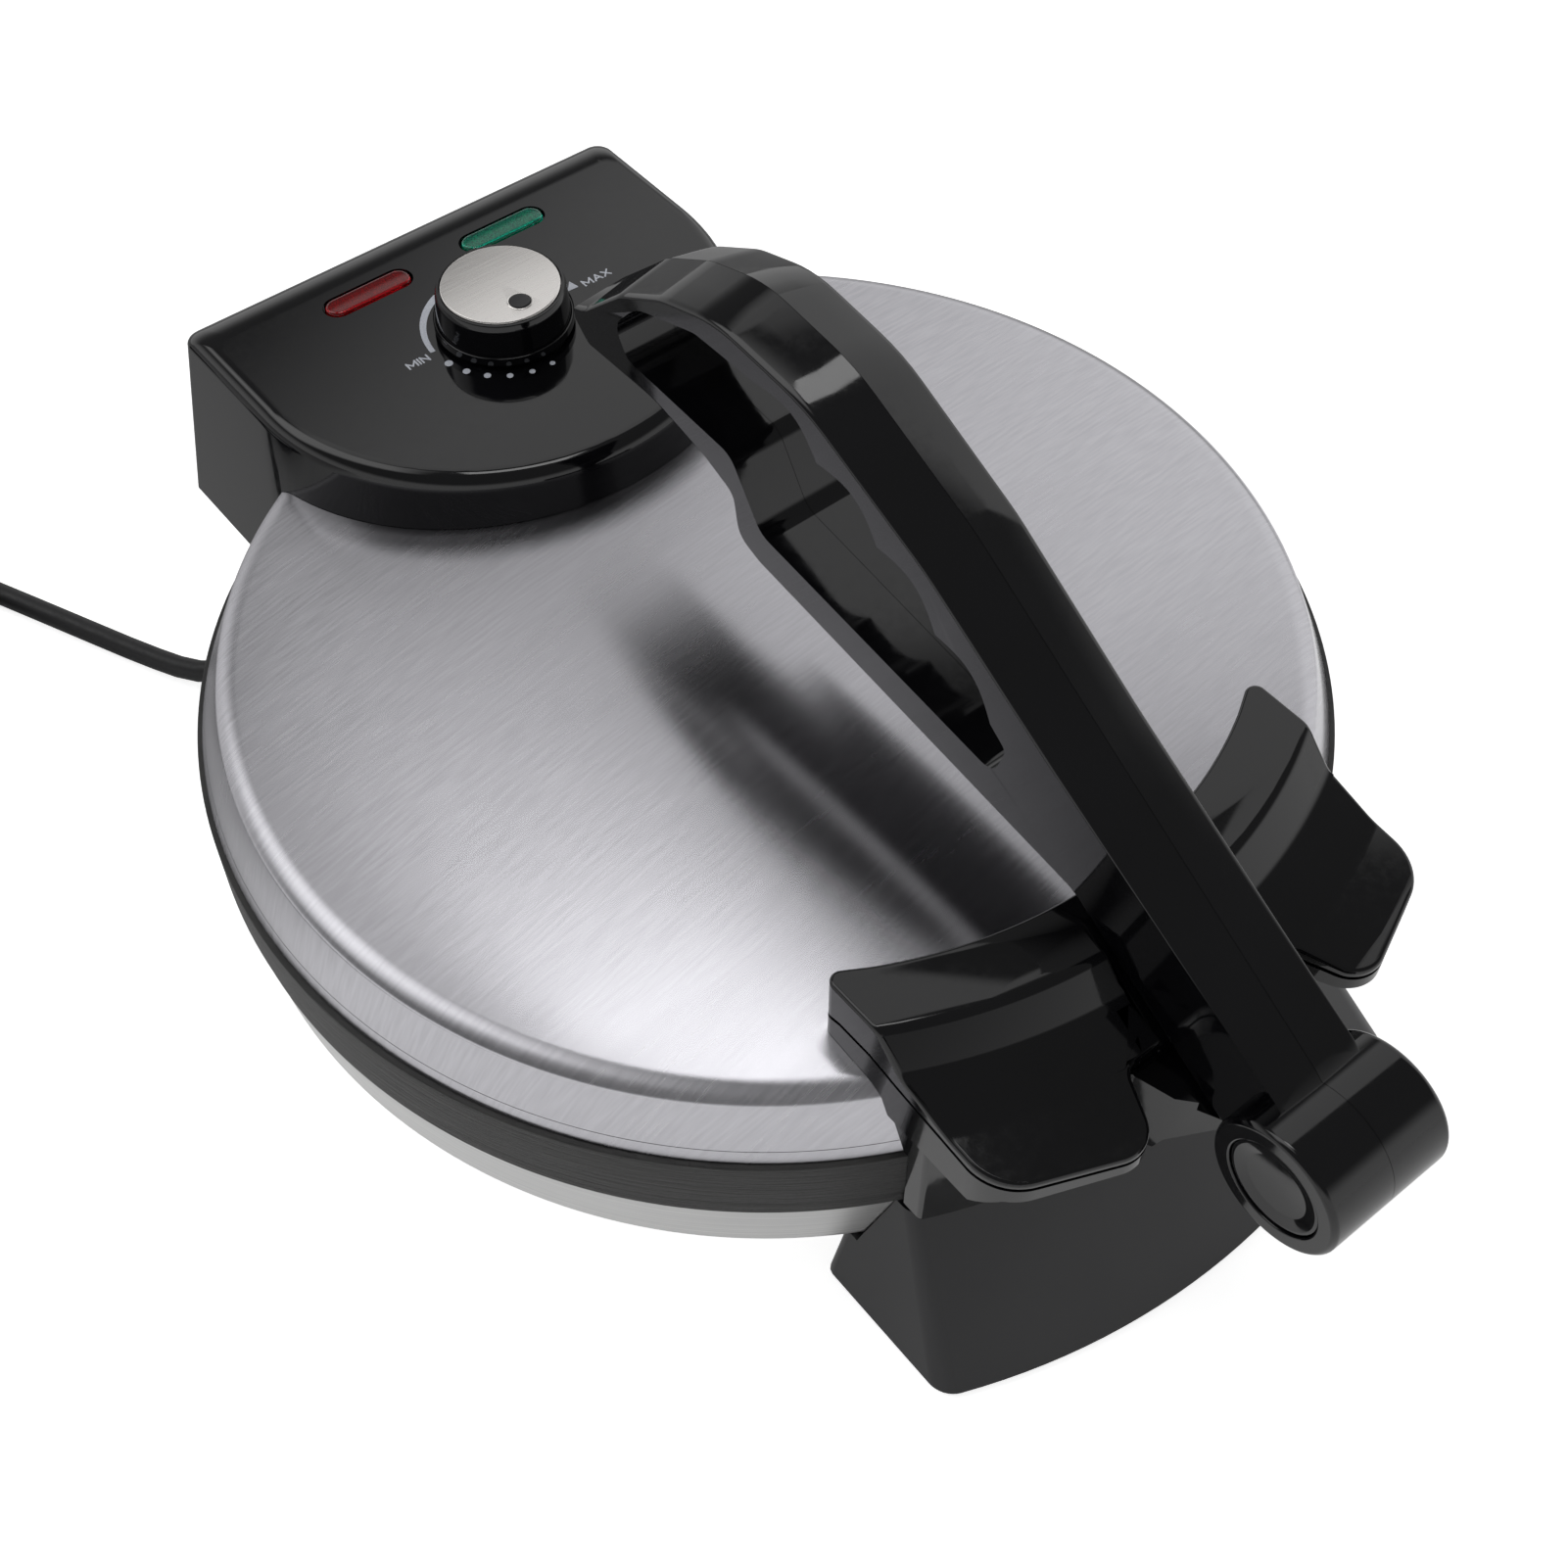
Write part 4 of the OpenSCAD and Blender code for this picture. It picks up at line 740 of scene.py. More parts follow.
# A clear stadium with a rounded upper edge, over a tray of little pyramids.
def makeLens(values, side, name, clear, prisms):
    x, y = side * housing["lensPitch"] / 2, housing["lensY"]
    length, width = housing["lensLength"], housing["lensWidth"]
    rings = [[(px, py, z) for px, py in stadium(x, y, length - 2 * inset, width - 2 * inset)]
             for z, inset in [(values["bottomZ"], 0)]
             + [(values["topZ"] - values["edge"] * (1 - math.sin(math.radians(a))),
                 values["edge"] * (1 - math.cos(math.radians(a)))) for a in range(0, 91, 15)]]
    finishPiece(loft(rings), name + "_clear", clear, "lid", (name,), 50)
    bm = bmesh.new()
    size = values["prismSize"]
    countX, countY = math.ceil(length / size) + 1, math.ceil(width / size) + 1
    top = values["bottomZ"] - 0.1
    for i in range(countX):
        for j in range(countY):
            cx = x + (i - (countX - 1) / 2) * size
            cy = y + (j - (countY - 1) / 2) * size
            corners = [bm.verts.new((cx + dx * size / 2, cy + dy * size / 2, top - values["prismHeight"]))
                       for dx, dy in ((-1, -1), (1, -1), (1, 1), (-1, 1))]
            apex = bm.verts.new((cx, cy, top))
            for k in range(4):
                bm.faces.new((corners[k], corners[(k + 1) % 4], apex))
    bmesh.ops.remove_doubles(bm, verts=bm.verts, dist=0.01)
    rim = [e for e in bm.edges if len(e.link_faces) == 1]
    made = bmesh.ops.extrude_edge_only(bm, edges=rim)
    low = [v for v in made["geom"] if isinstance(v, bmesh.types.BMVert)]
    for v in low:
        v.co.z = values["trayZ"]
    bmesh.ops.edgeloop_fill(bm, edges=[e for e in bm.edges if len(e.link_faces) == 1])
    bmesh.ops.recalc_face_normals(bm, faces=bm.faces)
    tray = asObject(bm)
    carve(tray, [prism(stadium(x, y, length, width, -0.05), values["trayZ"] - 1, 114)], "INTERSECT")
    finishPiece(tray, name + "_prisms", prisms, "lid", (name,), 5)


makeLens(lens, -1, "red_lens", redAcrylic, redPrisms)
makeLens(lens, 1, "green_lens", greenAcrylic, greenPrisms)

knob = {
    "y": 125.5, "z": 111.8, "height": 14.5, "radius": 21.0, "discRadius": 17.8, "pipRadius": 3.1,
    "pipOff": 10.3, "steps": 128,
}


def makeKnob(values):
    r, h, d = values["radius"], values["height"], values["discRadius"] + 0.2
    outline = ([(3.1, h - 4.5), (3.1, 0), (6.5, 0), (6.5, h - 5), (r - 3.4, h - 5), (r - 3.4, 0)]
               + roundedLoop([(r, 0), (r, 1.4), (r - 0.9, 2.6), (r - 1.5, h - 2.2), (r - 2.3, h - 0.4),
                              (d + 0.55, h - 0.4), (d + 0.55, h - 1.3), (d, h - 1.3)],
                             [0.4, 0.7, 0.8, 1.6, 0.8, 0.3, 0, 0], 12)
               + [(0, h - 1.3)])
    bm = spinLoop([(0, h - 4.5)] + outline, values["steps"], closed=False)
    pip = spinLoop([(0, h - 2)] + roundedLoop([(values["pipRadius"], h - 2), (values["pipRadius"], h + 0.4),
                                               (0, h + 0.4)], [0, 0.35, 0], 18), 64, closed=False)
    place = (0, values["y"] + lidY, values["z"])
    finishPiece(bm, "knob_moulded", glossAbs, "knob", ("knob",), 32, place)
    ring = [(values["pipRadius"] + 0.25, h - 0.5), (values["pipRadius"] + 0.25, h + 0.15),
            (values["pipRadius"] + 0.55, h + 0.2), (values["pipRadius"] + 0.75, h + 0.1),
            (values["pipRadius"] + 0.75, h - 0.5)]
    pipPlace = (0, values["y"] + lidY - values["pipOff"], values["z"])
    finishPiece(pip, "knob_pip", satinAbs, "knob", (), 32, pipPlace)
    finishPiece(spinLoop(ring, 64), "knob_pip_ring", steelDisc, "knob", (), 32, pipPlace)
    d = values["discRadius"]
    disc = asObject(spinLoop([(0, h - 1.3)] + roundedLoop(
        [(d, h - 1.3), (d, h - 0.35), (d - 0.35, h), (0, h)], [0, 0.3, 0.3, 0], 18),
        values["steps"], closed=False))
    carve(disc, [rod((0, -values["pipOff"], h - 3), (0, -values["pipOff"], h + 3), values["pipRadius"] + 0.3, 64)])
    finishPiece(disc, "knob_disc_brushed", steelDisc, "knob", ("knob_disc",), 32, place)


makeKnob(knob)
print("lenses and knob made")

grip = {
    "halfWidth": 73.0, "front": 190.0, "back": 132.5, "gap": 55.0, "channel": 170.0,
    "upper": [(0, 111.4), (132.5, 110.9), (150.2, 110.9), (158.6, 101.6), (173, 97.0), (188, 95.6), (216, 95.2)],
    "upperRadii": [0, 0, 4, 6, 20, 15, 0],
    "parting": [(-200, 92), (-165, 92.4), (-140, 95.6), (-130, 97.4), (-119, 97.2), (-108, 94), (-100, 93)],
    "apronRadius": 167.2, "apronLow": 43.2, "neckHalf": 20.0, "earHalf": 9.8, "pivotY": -211.0,
    "pivotZ": 88.5, "leverHalf": 13.2, "softening": 1.1, "partingGap": 0.4,
}


# Plan of the two wings, the gap for the lever between them and the arc over the lid.
def gripPlan(values, inset):
    w, f = values["halfWidth"] - inset, values["front"] - inset
    g, channel, r = values["gap"] / 2 + inset, values["channel"] - inset, values["back"] + inset
    a = math.degrees(math.asin(w / r))
    back = arcPoints(0, 0, r, 270 + a, 270 - a, 48)
    points = [(-w, -f + 15.5), (-g - 8.5, -f), (-g, -channel), (g, -channel), (g + 8.5, -f), (w, -f + 15.5),
              back[0]] + back[4:-4] + [back[-1]]
    radii = [15, 9, 5, 5, 9, 15, 3] + [0] * (len(back) - 8) + [3]
    return roundedLoop(points, radii, 6)


def aboutPivot(points):
    return [(grip["pivotY"] + u, grip["pivotZ"] + v) for u, v in points]


# Room that the lever's arm needs over the grip when it is folded back.
def armSpace(down, half):
    return prism(aboutPivot([(19, -7.2 - down), (75, 26.9 - down), (100, 60), (19, 60)]), -half, half, "YZ")


def makeGripTop(values):
    upper = roundedLoop([(0, 0)] + values["upper"] + [(216, 0)], [0] + values["upperRadii"] + [0], 6)
    parting = [(y, z + values["partingGap"]) for y, z in values["parting"]]
    obj = asObject(prism(gripPlan(values, 0), 60, 140))
    carve(obj, [prism([(-100, 140), (-200, 140)] + parting, -90, 90, "YZ"),
                spinLoop(upper, lid["steps"], closed=False)], "INTERSECT")
    carve(obj, [lidSpace(), armSpace(2, values["leverHalf"] + 3)])
    softenEdges(obj, values["softening"], 4, 34, False)
    return finishPiece(obj, "grip_upper_shell", glossAbs, "lid", ("grip_top",), 35)


def makeGripBody(values):
    p = (values["pivotY"], values["pivotZ"])
    neck, ear = values["neckHalf"], values["earHalf"]
    obj = asObject(prism(gripPlan(values, 0), 60, 140))
    carve(obj, [prism([(-100, 80), (-166, 80), (-174, 87), (-200, 90)] + values["parting"], -90, 90, "YZ")],
          "INTERSECT")
    apron = asObject(rod((0, 0, 0), (0, 0, 86), values["apronRadius"], 192))
    carve(apron, [box((-72, -180, values["apronLow"]), (72, -100, 95))], "INTERSECT")
    softenEdges(apron, 1.2, 3, 34)
    arm = asObject(prism([(-neck - 5, -150), (-neck - 5, p[0] + 44), (-neck, p[0] + 31), (-ear, p[0] + 19.5),
                          (ear, p[0] + 19.5), (neck, p[0] + 31), (neck + 5, p[0] + 44), (neck + 5, -150)],
                         50, 140))
    carve(arm, [prism(aboutPivot([(19.5, -9.5), (31, -21), (33, -26.5), (50, -28), (61, -20), (61, 3.5),
                                  (31, -1), (19.5, -1)]), -neck - 6, neck + 6, "YZ")], "INTERSECT")
    eye = prism(arcPoints(p[0], p[1], 14, 10, 325, 60)
                + aboutPivot([(24, -12), (34, -20), (34, -3), (27.5, 3.4)]), -ear, ear, "YZ")
    for extra in (apron, arm):
        bm = bmesh.new()
        bm.from_mesh(extra.data)
        bpy.data.objects.remove(extra)
        carve(obj, [bm], "UNION")
    carve(obj, [eye], "UNION")
    gapBox = prism(aboutPivot([(0, -20), (28, -20), (28, 40), (0, 40)]), -ear, ear, "YZ")
    room = asObject(armSpace(2, values["leverHalf"] + 3))
    carve(room, [gapBox])
    bm = bmesh.new()
    bm.from_mesh(room.data)
    bpy.data.objects.remove(room)
    carve(obj, [lidSpace(), bm, rod((-30, p[0], p[1]), (30, p[0], p[1]), 4)])
    softenEdges(obj, 0.7, 3, 34)
    return finishPiece(obj, "grip_lower_shell", glossAbs, "lid", ("grip_body",), 35)


evenNormals(makeGripTop(grip))
evenNormals(makeGripBody(grip))
print("grip made")

bracket = {
    "footHalf": 85.0, "topHalf": 72.0, "footFront": 196.5, "footArc": 205.0, "topFront": 164.3, "back": 131.0,
    "footZ": 2.0, "topZ": 42.0, "hollowZ": 15.2, "footCorner": 8.0, "topCorner": 5.0, "softening": 1.1,
}


# A curved front whose corners are rounded with the same number of points at every height.
def bracketRing(half, front, r, back, corner, z):
    middle = r - front
    a = math.asin(half / r)
    centreA = math.asin((half - corner) / (r - corner))
    cx, cy = (r - corner) * math.sin(centreA), middle - (r - corner) * math.cos(centreA)
    start = 270 + math.degrees(centreA)
    right = arcPoints(cx, cy, corner, start, 360, 8)
    front = arcPoints(0, middle, r, 270 - math.degrees(centreA), 270 + math.degrees(centreA), 28)[1:-1]
    left = [(-x, y) for x, y in right[::-1]]
    rear = (filletPoints((half, -150), (half, -back), (0, -back), 3, 31)
            + filletPoints((0, -back), (-half, -back), (-half, -150), 3, 31))
    return [(x, y, z) for x, y in left + front + right + rear]


def makeBracket(values):
    rings = []
    for k in range(7):
        t = k / 6
        mix = lambda first, second: values[first] + (values[second] - values[first]) * t
        rings.append(bracketRing(mix("footHalf", "topHalf"), mix("footFront", "topFront"),
                                 mix("footArc", "topFront"), values["back"], mix("footCorner", "topCorner"),
                                 values["footZ"] + (values["topZ"] - values["footZ"]) * t))
    obj = asObject(loft(rings))
    hollow = [bracketRing(values["topHalf"], values["footFront"] - 16, values["footArc"] - 16,
                          values["back"] + 5, 4, z) for z in (1, values["hollowZ"])]
    panSpace = spinLoop([(0, 19.2), (158, 19.2), (158.1, 22.2), (pan["radius"] + 0.2, 43.5),
                         (pan["radius"] + 0.2, 60), (0, 60)], 192, closed=False)
    carve(obj, [loft(hollow)])
    carve(obj, [rod((x, -154.5, 2), (x, -154.5, 16), 8) for x in (-65, 65)], "UNION")
    carve(obj, [panSpace] + [rod((x, -142, 0), (x, -142, 40), 2.1, 24) for x in (-44, 44)]
          + [rod((x, -154.5, 0), (x, -154.5, 10), 3.1, 32) for x in (-65, 65)])
    softenEdges(obj, values["softening"], 3, 34)
    return finishPiece(obj, "front_bracket_moulded", satinAbs, "base", ("front_bracket",), 35)


evenNormals(makeBracket(bracket))
print("front bracket made")

lever = {
    "rootHalf": 13.2, "tipHalf": 16.2, "length": 271.0, "barrelRadius": 18.8, "barrelHalf": 20.0,
    "capRadius": 13.5, "capDepth": 3.4, "cavityRadius": 15.0, "cavityHalf": 10.2, "crest": 117.25,
    "pinRadius": 4.0, "slotRadius": 31.0, "grooves": 4, "grooveDepth": 4.6, "roofDrop": 4.8,
    "seam": 0.06, "softening": 0.55, "screwPlaces": [(60, 38), (95, 52), (261.5, 79)],
}


def leverOutline(values):
    c, l = values["crest"], values["length"]
    top = roundedLoop([(-4, 8), (10, 19.5), (135, 95.5), (178, c - 2.5), (211, c + 0.8), (232, c - 6),
                       (250, 101), (l, 81.5)], [0, 0, 60, 50, 40, 26, 22, 0], 5)
    low = roundedLoop([(-4, -14.5), (22.5, -5.4), (77, 28), (195, 45), (203, 48), (205, 61), (217, 66),
                       (238, 70.5), (l - 5, 70.2), (l, 75)], [0, 0, 12, 7, 6, 6, 12, 25, 4, 0], 8)
    return top, low


def heightAt(line, u):
    for (u0, v0), (u1, v1) in zip(line, line[1:]):
        if u0 <= u <= u1:
            return v0 + (v1 - v0) * (u - u0) / max(u1 - u0, 1e-9)
    return line[-1][1]


# One slice of the lever's right half: flat side, rounded upper bead and a roof facet up to the seam.
def leverSlice(values, u, hi, lo):
    w = values["rootHalf"] + (values["tipHalf"] - values["rootHalf"]) * u / values["length"]
    drop = values["roofDrop"] * min(max(u / 90, 0.1), 1) * min(1, (hi - lo) / 16)
    seam = values["seam"]
    roof = [(1, 1.0), (0.992, 0.93), (0.978, 0.865), (0.955, 0.805), (0.925, 0.755), (0.89, 0.712),
            (0.68, 0.515), (0.45, 0.33), (0.22, 0.16), (0.05, 0.035)]
    edge = min(1.5, (hi - lo - drop) / 2)
    foot = [(w - edge * (1 - math.sin(math.radians(a))), lo + edge * (1 - math.cos(math.radians(a))))
            for a in (0, 30, 60, 90)]
    side = [(w * s, hi - drop * f) for s, f in roof]
    return [(seam, u, lo)] + [(x, u, z) for x, z in foot + side] + [(seam, u, hi)]


def loopOutline(values):
    a, b = Vector((196, 105.7)), Vector((109.3, 60.5))
    out = Vector((b.y - a.y, -(b.x - a.x))).normalized()
    out = out if out.y > 0 else -out

    def upper(t):
        scallop = values["grooveDepth"] * abs(math.sin(math.pi * values["grooves"] * t))
        return tuple(a + (b - a) * t + out * (14 * t * (1 - t) + scallop))

    loop = roundedLoop([upper(1), (103.5, 56), (106.5, 44.6), (194, 56.5), (206, 75), (248, 77.5), (253, 86),
                        (243, 97.5), (219, 105.5), upper(0)], [0, 3, 5, 7, 7, 4, 6, 16, 10, 0], 9)
    count = 12 * values["grooves"]
    return loop + [upper(k / count) for k in range(1, count)]


def leverHalf(values, side):
    top, low = leverOutline(values)
    marks = sorted({round(p[0], 2) for p in top + low} | {float(u) for u in range(0, 271, 4)})
    stations = [marks[0]]
    for u in marks[1:]:
        if u - stations[-1] > 0.35:
            stations.append(u)
    rings = [leverSlice(values, u, heightAt(top, u), heightAt(low, u)) for u in stations]
    obj = asObject(loft(rings))
    r, half = values["barrelRadius"], values["barrelHalf"]
    recess, depth = values["capRadius"], values["capDepth"]
    barrel = ([(0, 0.06)] + [(r, 0.06)]
              + roundedLoop([(r, 10), (r, half - 1.2), (r - 1.0, half), (recess, half), (recess, half - depth)],
                            [0, 1.6, 1.2, 0.5, 0], 12)[1:] + [(0, half - depth)])
    carve(obj, [spinLoop(barrel, 128, "X", closed=False)], "UNION")
    slot = [(0, 0)] + arcPoints(0, 0, values["slotRadius"], 14, -166, 60)
    carve(obj, [prism(loopOutline(values), -1, 30, "YZ"), rod((half - depth, 0, 0), (half + 9, 0, 0), recess, 96),
                rod((-1, 0, 0), (values["cavityHalf"], 0, 0), values["cavityRadius"], 96),
                rod((-1, 0, 0), (half - 4.8, 0, 0), values["pinRadius"], 48),
                prism(slot, -1, values["cavityHalf"], "YZ")])
    for u, v in values["screwPlaces"]:
        if side > 0:
            carve(obj, [rod((-1, u, v), (40, u, v), 2.1, 32), rod((7, u, v), (40, u, v), 4.5, 48)])
        else:
            carve(obj, [rod((-1, u, v), (10, u, v), 2.1, 32)])
    softenEdges(obj, values["softening"], 3, 34)
    if side < 0:
        bm = bmesh.new()
        bm.from_mesh(obj.data)
        mirrored(bm).to_mesh(obj.data)
        bm.free()
    name = "lever_right" if side > 0 else "lever_left"
    return finishPiece(obj, name + "_shell", glossAbs, "lever", (name,), 35,
                       (0, lidY + grip["pivotY"], grip["pivotZ"]))


for side in (-1, 1):
    evenNormals(leverHalf(lever, side))


def makeCaps(values):
    start = values["barrelHalf"] - values["capDepth"]
    line = [(0, start)] + roundedLoop([(13.3, start), (13.3, start + 2.7), (12.3, start + 2.7), (9, start + 1.9),
                                       (0, start + 1.2)], [0, 0.4, 0.5, 4, 0], 15)
    parts = [spinLoop(line, 96, "X", closed=False), mirrored(spinLoop(line, 96, "X", closed=False))]
    finishPiece(mergeMeshes(parts), "barrel_caps_moulded", glossAbs, "lever",
                ("barrel_caps",), 32, (0, lidY + grip["pivotY"], grip["pivotZ"]))


makeCaps(lever)
print("lever made")

dial = {
    "z": 111.3, "lift": 0.05, "centre": (0, 125.5), "dotRadius": 23.5,
    "dots": [(-169, 1.3), (-153, 1.15), (-137, 1.08), (-120.8, 1.0), (-104.5, 0.93), (-88, 0.85)],
    "bandCentre": (0, 126.0), "bandInner": 23.2, "bandAngles": (55, 175),
    "triangle": [(23.0, 125.7), (27.0, 125.45), (26.2, 129.2)],
    "letterHeight": 3.0, "letterStroke": 0.52, "words": [("MIN", -33.3, 125.6), ("MAX", 29.0, 124.1)],
}

# Strokes of the capitals on a box one wide and one high, with each letter's width.
letterStrokes = {
    "M": (0.95, [((0, 0), (0, 1)), ((0, 1), (0.5, 0.25)), ((0.5, 0.25), (1, 1)), ((1, 1), (1, 0))]),
    "I": (0.0, [((0, 0), (0, 1))]),
    "N": (0.72, [((0, 0), (0, 1)), ((0, 1), (1, 0)), ((1, 0), (1, 1))]),
    "A": (0.82, [((0, 0), (0.5, 1)), ((0.5, 1), (1, 0)), ((0.2, 0.32), (0.8, 0.32))]),
    "X": (0.74, [((0, 0), (1, 1)), ((0, 1), (1, 0))]),
}


def strokeOutline(a, b, width):
    a, b = Vector(a), Vector(b)
    along = (b - a).normalized() * width / 2
    side = Vector((-along.y, along.x))
    return [tuple(p) for p in (a - along - side, b + along - side, b + along + side, a - along + side)]


def makeDial(values):
    cx, cy = values["centre"]
    parts = []

    def flat(points, lift=1.0):
        parts.append(prism(points, values["z"], values["z"] + values["lift"] * lift))

    for a, r in values["dots"]:
        x, y = values["dotRadius"] * math.cos(math.radians(a)), values["dotRadius"] * math.sin(math.radians(a))
        flat(arcPoints(cx + x, cy + y, r, 0, 345, 23))
    bx, by = values["bandCentre"]
    start, end = values["bandAngles"]
    outer, inner = [], []
    for k in range(41):
        t = k / 40
        a = math.radians(start + (end - start) * t)
        reach = values["bandInner"] + 0.3 + 2.1 * min(1, t * 2) - 0.8 * max(0, t - 0.5) * 2
        outer.append((bx + reach * math.cos(a), by + reach * math.sin(a)))
        inner.append((bx + values["bandInner"] * math.cos(a), by + values["bandInner"] * math.sin(a)))
    flat(outer + inner[::-1])
    flat(values["triangle"])
    high, stroke = values["letterHeight"], values["letterStroke"]
    for word, x, y in values["words"]:
        for letter in word:
            wide, strokes = letterStrokes[letter]
            for i, (a, b) in enumerate(strokes):
                ends = [(x + p[0] * wide * high, y + stroke / 2 + p[1] * (high - stroke)) for p in (a, b)]
                flat(strokeOutline(ends[0], ends[1], stroke), 1 + 0.06 * i)
            x += wide * high + stroke + 0.42
    finishPiece(mergeMeshes(parts), "dial_marks", inkWhite, "lid")


makeDial(dial)
print("dial made")

kept = {
    "lower_element": heaterTube, "upper_element": heaterTube, "plate_screws": zinc, "rear_bracket": satinAbs,
    "bracket_screws": zinc, "rubber_feet": rubber, "terminal_block": steatite, "hinge_rod": zinc,
    "strain_relief": sheath, "plug": sheath, "plug_pins": nickelBrass, "hinge_frame": zinc,
    "frame_screws": zinc, "thermostat": steatite, "thermostat_bracket": zinc, "lamps": lampGlass,
    "grip_screws": zinc, "pivot_pin": zinc, "thermostat_shaft": nickelBrass, "lever_screws": zinc,
}
for name, material in kept.items():
    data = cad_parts[name].data
    data.materials.clear()
    data.materials.append(material)
print("kept solids dressed")


# White paper: it glows up to white for camera, gloss and glass, and keeps the light and shadow it gets; in
# reflections, behind the object, it is painted dark as painted shade.
def whiteStage(name, glowLevel):
    material = bpy.data.materials.new(name)
    material.use_nodes = True
    tree = material.node_tree
    tree.nodes.remove(tree.nodes["Principled BSDF"])
    paper = addNode(tree, "ShaderNodeBsdfDiffuse", None, {"Color": linearColour("#f4f4f4")})
    rays = addNode(tree, "ShaderNodeLightPath")
    seen = addNode(tree, "ShaderNodeMath", {"operation": "ADD", "use_clamp": True}, None,
                   {0: rays.outputs["Is Camera Ray"], 1: rays.outputs["Is Transmission Ray"]})
    level = addNode(tree, "ShaderNodeMath", {"operation": "MULTIPLY"}, {1: glowLevel}, {0: seen.outputs[0]})
    shiny = addNode(tree, "ShaderNodeMath", {"operation": "MULTIPLY_ADD"}, {1: glowLevel * 0.45},
                    {0: rays.outputs["Is Glossy Ray"], 2: level.outputs[0]})
    glow = addNode(tree, "ShaderNodeEmission", None, {"Color": (1, 1, 1, 1)}, {"Strength": shiny.outputs[0]})
    both = addNode(tree, "ShaderNodeAddShader", None, None, {0: paper.outputs[0], 1: glow.outputs[0]})
    # Painted shade: in reflections the paper behind the object turns this dark grey, for the shade the body casts
    # there.
    shade = addNode(tree, "ShaderNodeBsdfDiffuse", None, {"Color": linearColour("#3a3a3c")})
    place = addNode(tree, "ShaderNodeSeparateXYZ", None, None,
                    {"Vector": addNode(tree, "ShaderNodeTexCoord").outputs["Object"]})
    behind = mapTo(tree, place.outputs["Y"], 0.0, 0.62, 0.06, 0.2)
    dim = addNode(tree, "ShaderNodeMath", {"operation": "MULTIPLY"}, None,
                  {0: behind, 1: rays.outputs["Is Glossy Ray"]})
    mix = addNode(tree, "ShaderNodeMixShader", None, None,
                  {0: dim.outputs[0], 1: both.outputs[0], 2: shade.outputs[0]})
    tree.links.new(mix.outputs[0], tree.nodes["Material Output"].inputs["Surface"])
    return material


def makeFloor():
    bm = bmesh.new()
    bmesh.ops.create_grid(bm, x_segments=1, y_segments=1, size=4)
    mesh = bpy.data.meshes.new("floor")
    bm.to_mesh(mesh)
    bm.free()
    floor = bpy.data.objects.new("floor", mesh)
    scene.collection.objects.link(floor)
    mesh.materials.append(whiteStage("paper_floor", 0.8))


# The studio round the object: panels of soft light by direction, azimuth from +Y towards +X, and their
# edges as tangents of the angle from the middle, leaning sideways with height; below them a bright sweep, above them a dim ceiling.
studio = {
    "ceiling": 0.16, "sweep": 0.85, "sweepTop": (0.2, 0.5),
    "panels": [
        {"azimuth": 60, "elevation": 48, "left": -0.53, "right": 0.85, "low": -0.9, "high": 0.19,
         "lean": 0.55, "rise": 0.6, "soft": 0.11, "softHigh": 0.03, "level": 0.88},
        {"azimuth": -38, "elevation": 54, "left": -0.3, "right": 0.28, "low": -0.4, "high": 0.36,
         "lean": 0.0, "rise": 0.0, "soft": 0.12, "softHigh": 0.12, "level": 1.7},
    ],
}


def mathOn(tree, operation, *values):
    node = addNode(tree, "ShaderNodeMath", {"operation": operation})
    for socket, value in zip(node.inputs, values):
        if isinstance(value, (int, float)):
            socket.default_value = value
        else:
            tree.links.new(value, socket)
    return node.outputs[0]


def smoothTo(tree, source, start, end):
    return addNode(tree, "ShaderNodeMapRange", {"interpolation_type": "SMOOTHSTEP"},
                   {"From Min": start, "From Max": end}, {"Value": source}).outputs["Result"]


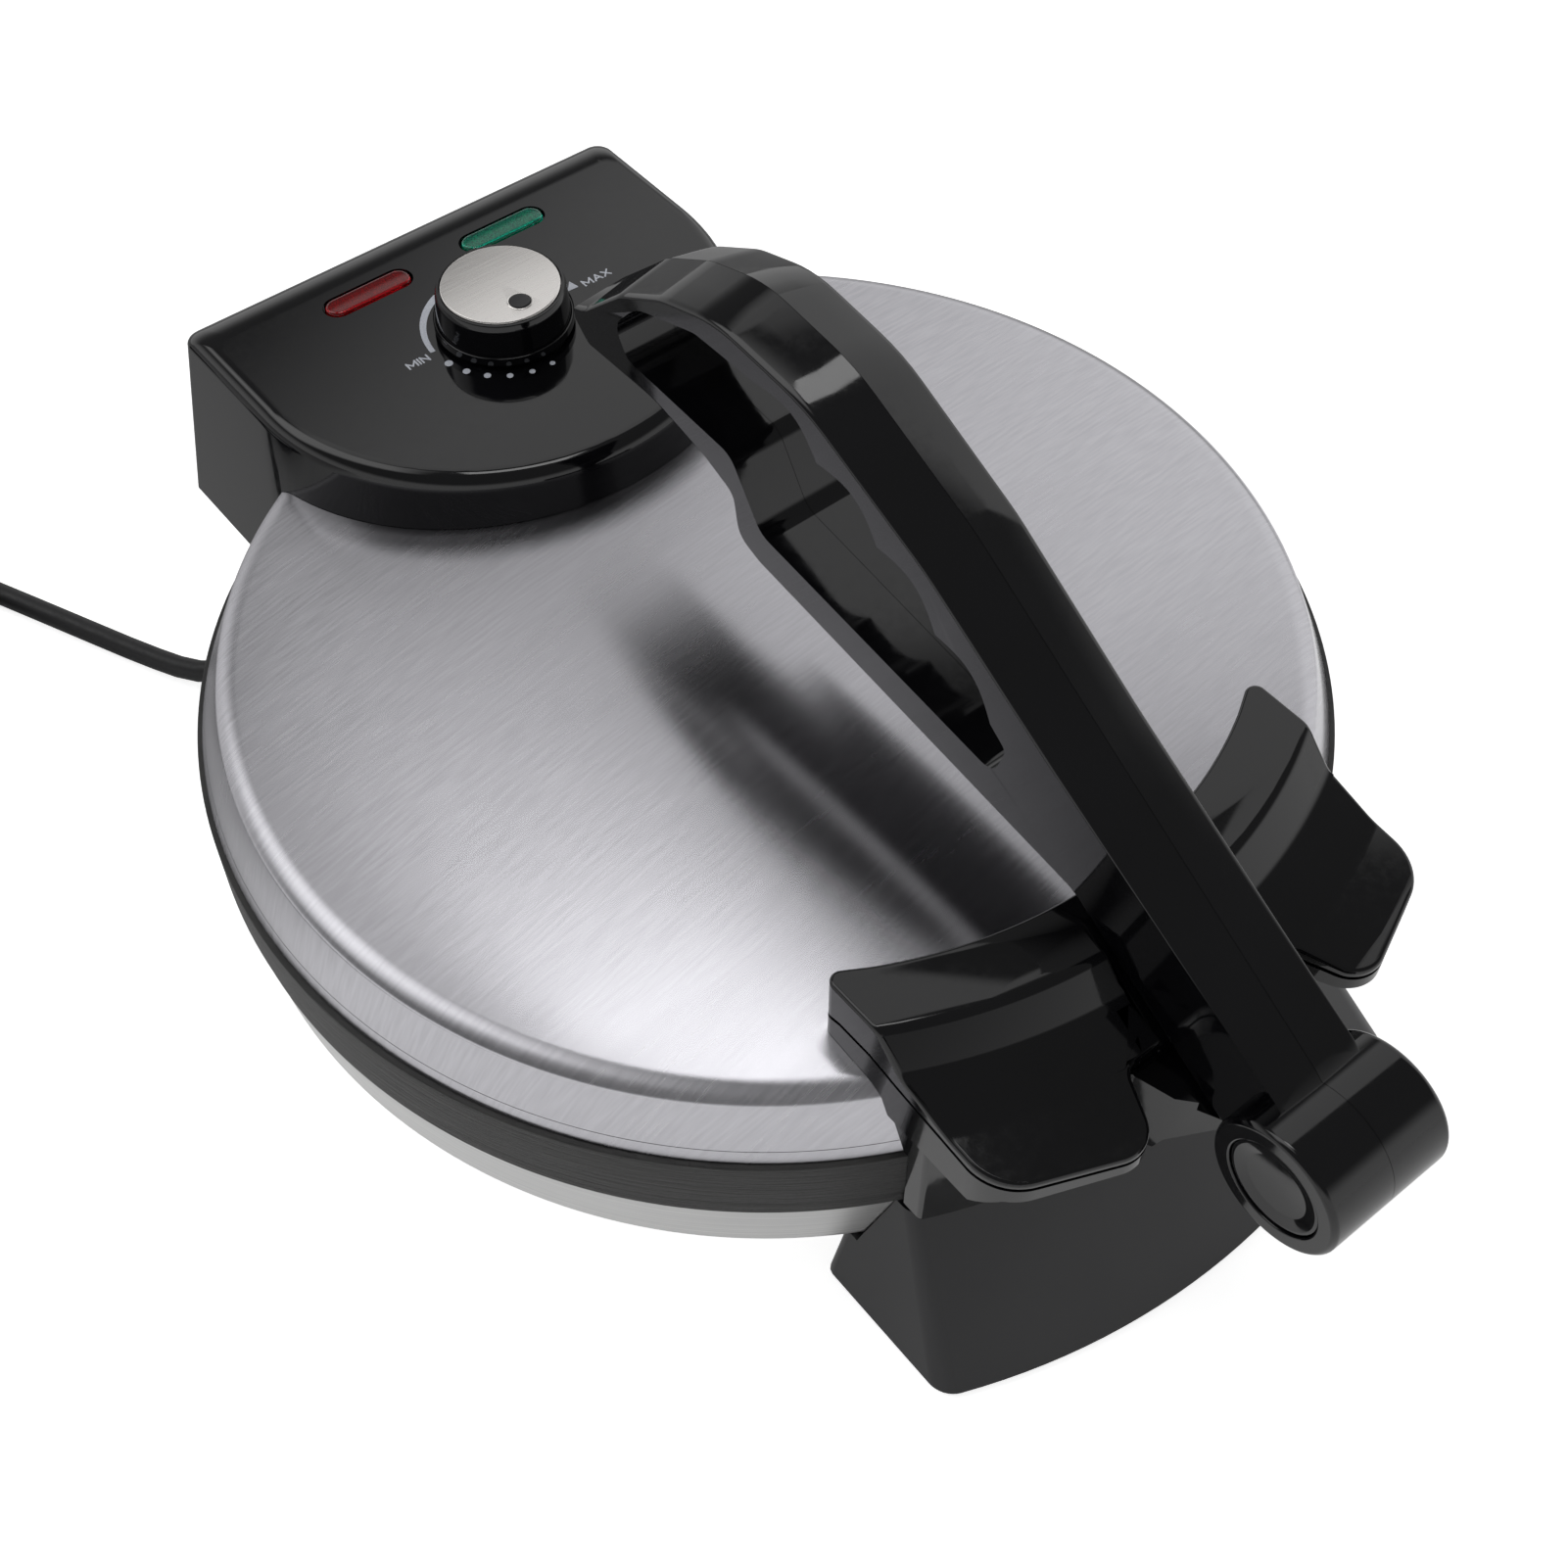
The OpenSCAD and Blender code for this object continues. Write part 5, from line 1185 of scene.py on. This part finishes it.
def softPanel(tree, direction, panel):
    az, el = math.radians(panel["azimuth"]), math.radians(panel["elevation"])
    facing = (math.sin(az) * math.cos(el), math.cos(az) * math.cos(el), math.sin(el))
    right = (math.cos(az), -math.sin(az), 0)
    up = (-math.sin(az) * math.sin(el), -math.cos(az) * math.sin(el), math.cos(el))
    depth, across, height = (addNode(tree, "ShaderNodeVectorMath", {"operation": "DOT_PRODUCT"}, {1: axis},
                                     {0: direction}).outputs["Value"] for axis in (facing, right, up))
    safe = mathOn(tree, "MAXIMUM", depth, 0.05)
    x, y = mathOn(tree, "DIVIDE", across, safe), mathOn(tree, "DIVIDE", height, safe)
    x, y = (mathOn(tree, "MULTIPLY_ADD", y, panel["lean"], x), mathOn(tree, "MULTIPLY_ADD", x, panel["rise"], y))
    factors = [smoothTo(tree, depth, 0.05, 0.3)]
    for value, edge, sign in ((x, "left", 1), (x, "right", -1), (y, "low", 1), (y, "high", -1)):
        soft = sign * panel["softHigh" if edge == "high" else "soft"]
        factors.append(smoothTo(tree, value, panel[edge] - soft, panel[edge] + soft))
    total = factors[0]
    for factor in factors[1:]:
        total = mathOn(tree, "MULTIPLY", total, factor)
    return mathOn(tree, "MULTIPLY", total, panel["level"])


def makeWorld(values):
    world = bpy.data.worlds.new("studio")
    scene.world = world
    world.use_nodes = True
    tree = world.node_tree
    back = tree.nodes["Background"]
    direction = addNode(tree, "ShaderNodeTexCoord").outputs["Generated"]
    height = addNode(tree, "ShaderNodeSeparateXYZ", None, None, {"Vector": direction}).outputs["Z"]
    low, high = values["sweepTop"]
    level = mathOn(tree, "MULTIPLY", smoothTo(tree, height, high, low), values["sweep"] - values["ceiling"])
    level = mathOn(tree, "ADD", level, values["ceiling"])
    for panel in values["panels"]:
        level = mathOn(tree, "MAXIMUM", level, softPanel(tree, direction, panel))
    rays = addNode(tree, "ShaderNodeLightPath")
    seen = addNode(tree, "ShaderNodeMath", {"operation": "ADD", "use_clamp": True}, None,
                   {0: rays.outputs["Is Camera Ray"], 1: rays.outputs["Is Transmission Ray"]})
    tree.links.new(mathOn(tree, "MAXIMUM", level, seen.outputs[0]), back.inputs["Strength"])
    back.inputs["Color"].default_value = (1, 1, 1, 1)


# Softboxes that give the crisp lights on edges: direction, distance, size and radiance.
softboxes = {
    "softbox_top": {"azimuth": 30, "elevation": 80, "distance": 1.5, "size": (0.5, 0.34), "radiance": 3.6},
}


def makeSoftbox(name, values):
    az, el = math.radians(values["azimuth"]), math.radians(values["elevation"])
    place = values["distance"] * Vector((math.sin(az) * math.cos(el), math.cos(az) * math.cos(el), math.sin(el)))
    data = bpy.data.lights.new(name, "AREA")
    data.shape = "RECTANGLE"
    data.size, data.size_y = values["size"]
    data.energy = values["radiance"] * math.pi * data.size * data.size_y
    lamp = bpy.data.objects.new(name, data)
    scene.collection.objects.link(lamp)
    turn = (-place).to_track_quat("-Z", "Y").to_matrix().to_4x4()
    lamp.matrix_world = Matrix.Translation(place + Vector((0, 0, 0.06))) @ turn


makeFloor()
makeWorld(studio)
for name, values in softboxes.items():
    makeSoftbox(name, values)
print("floor and lights made")
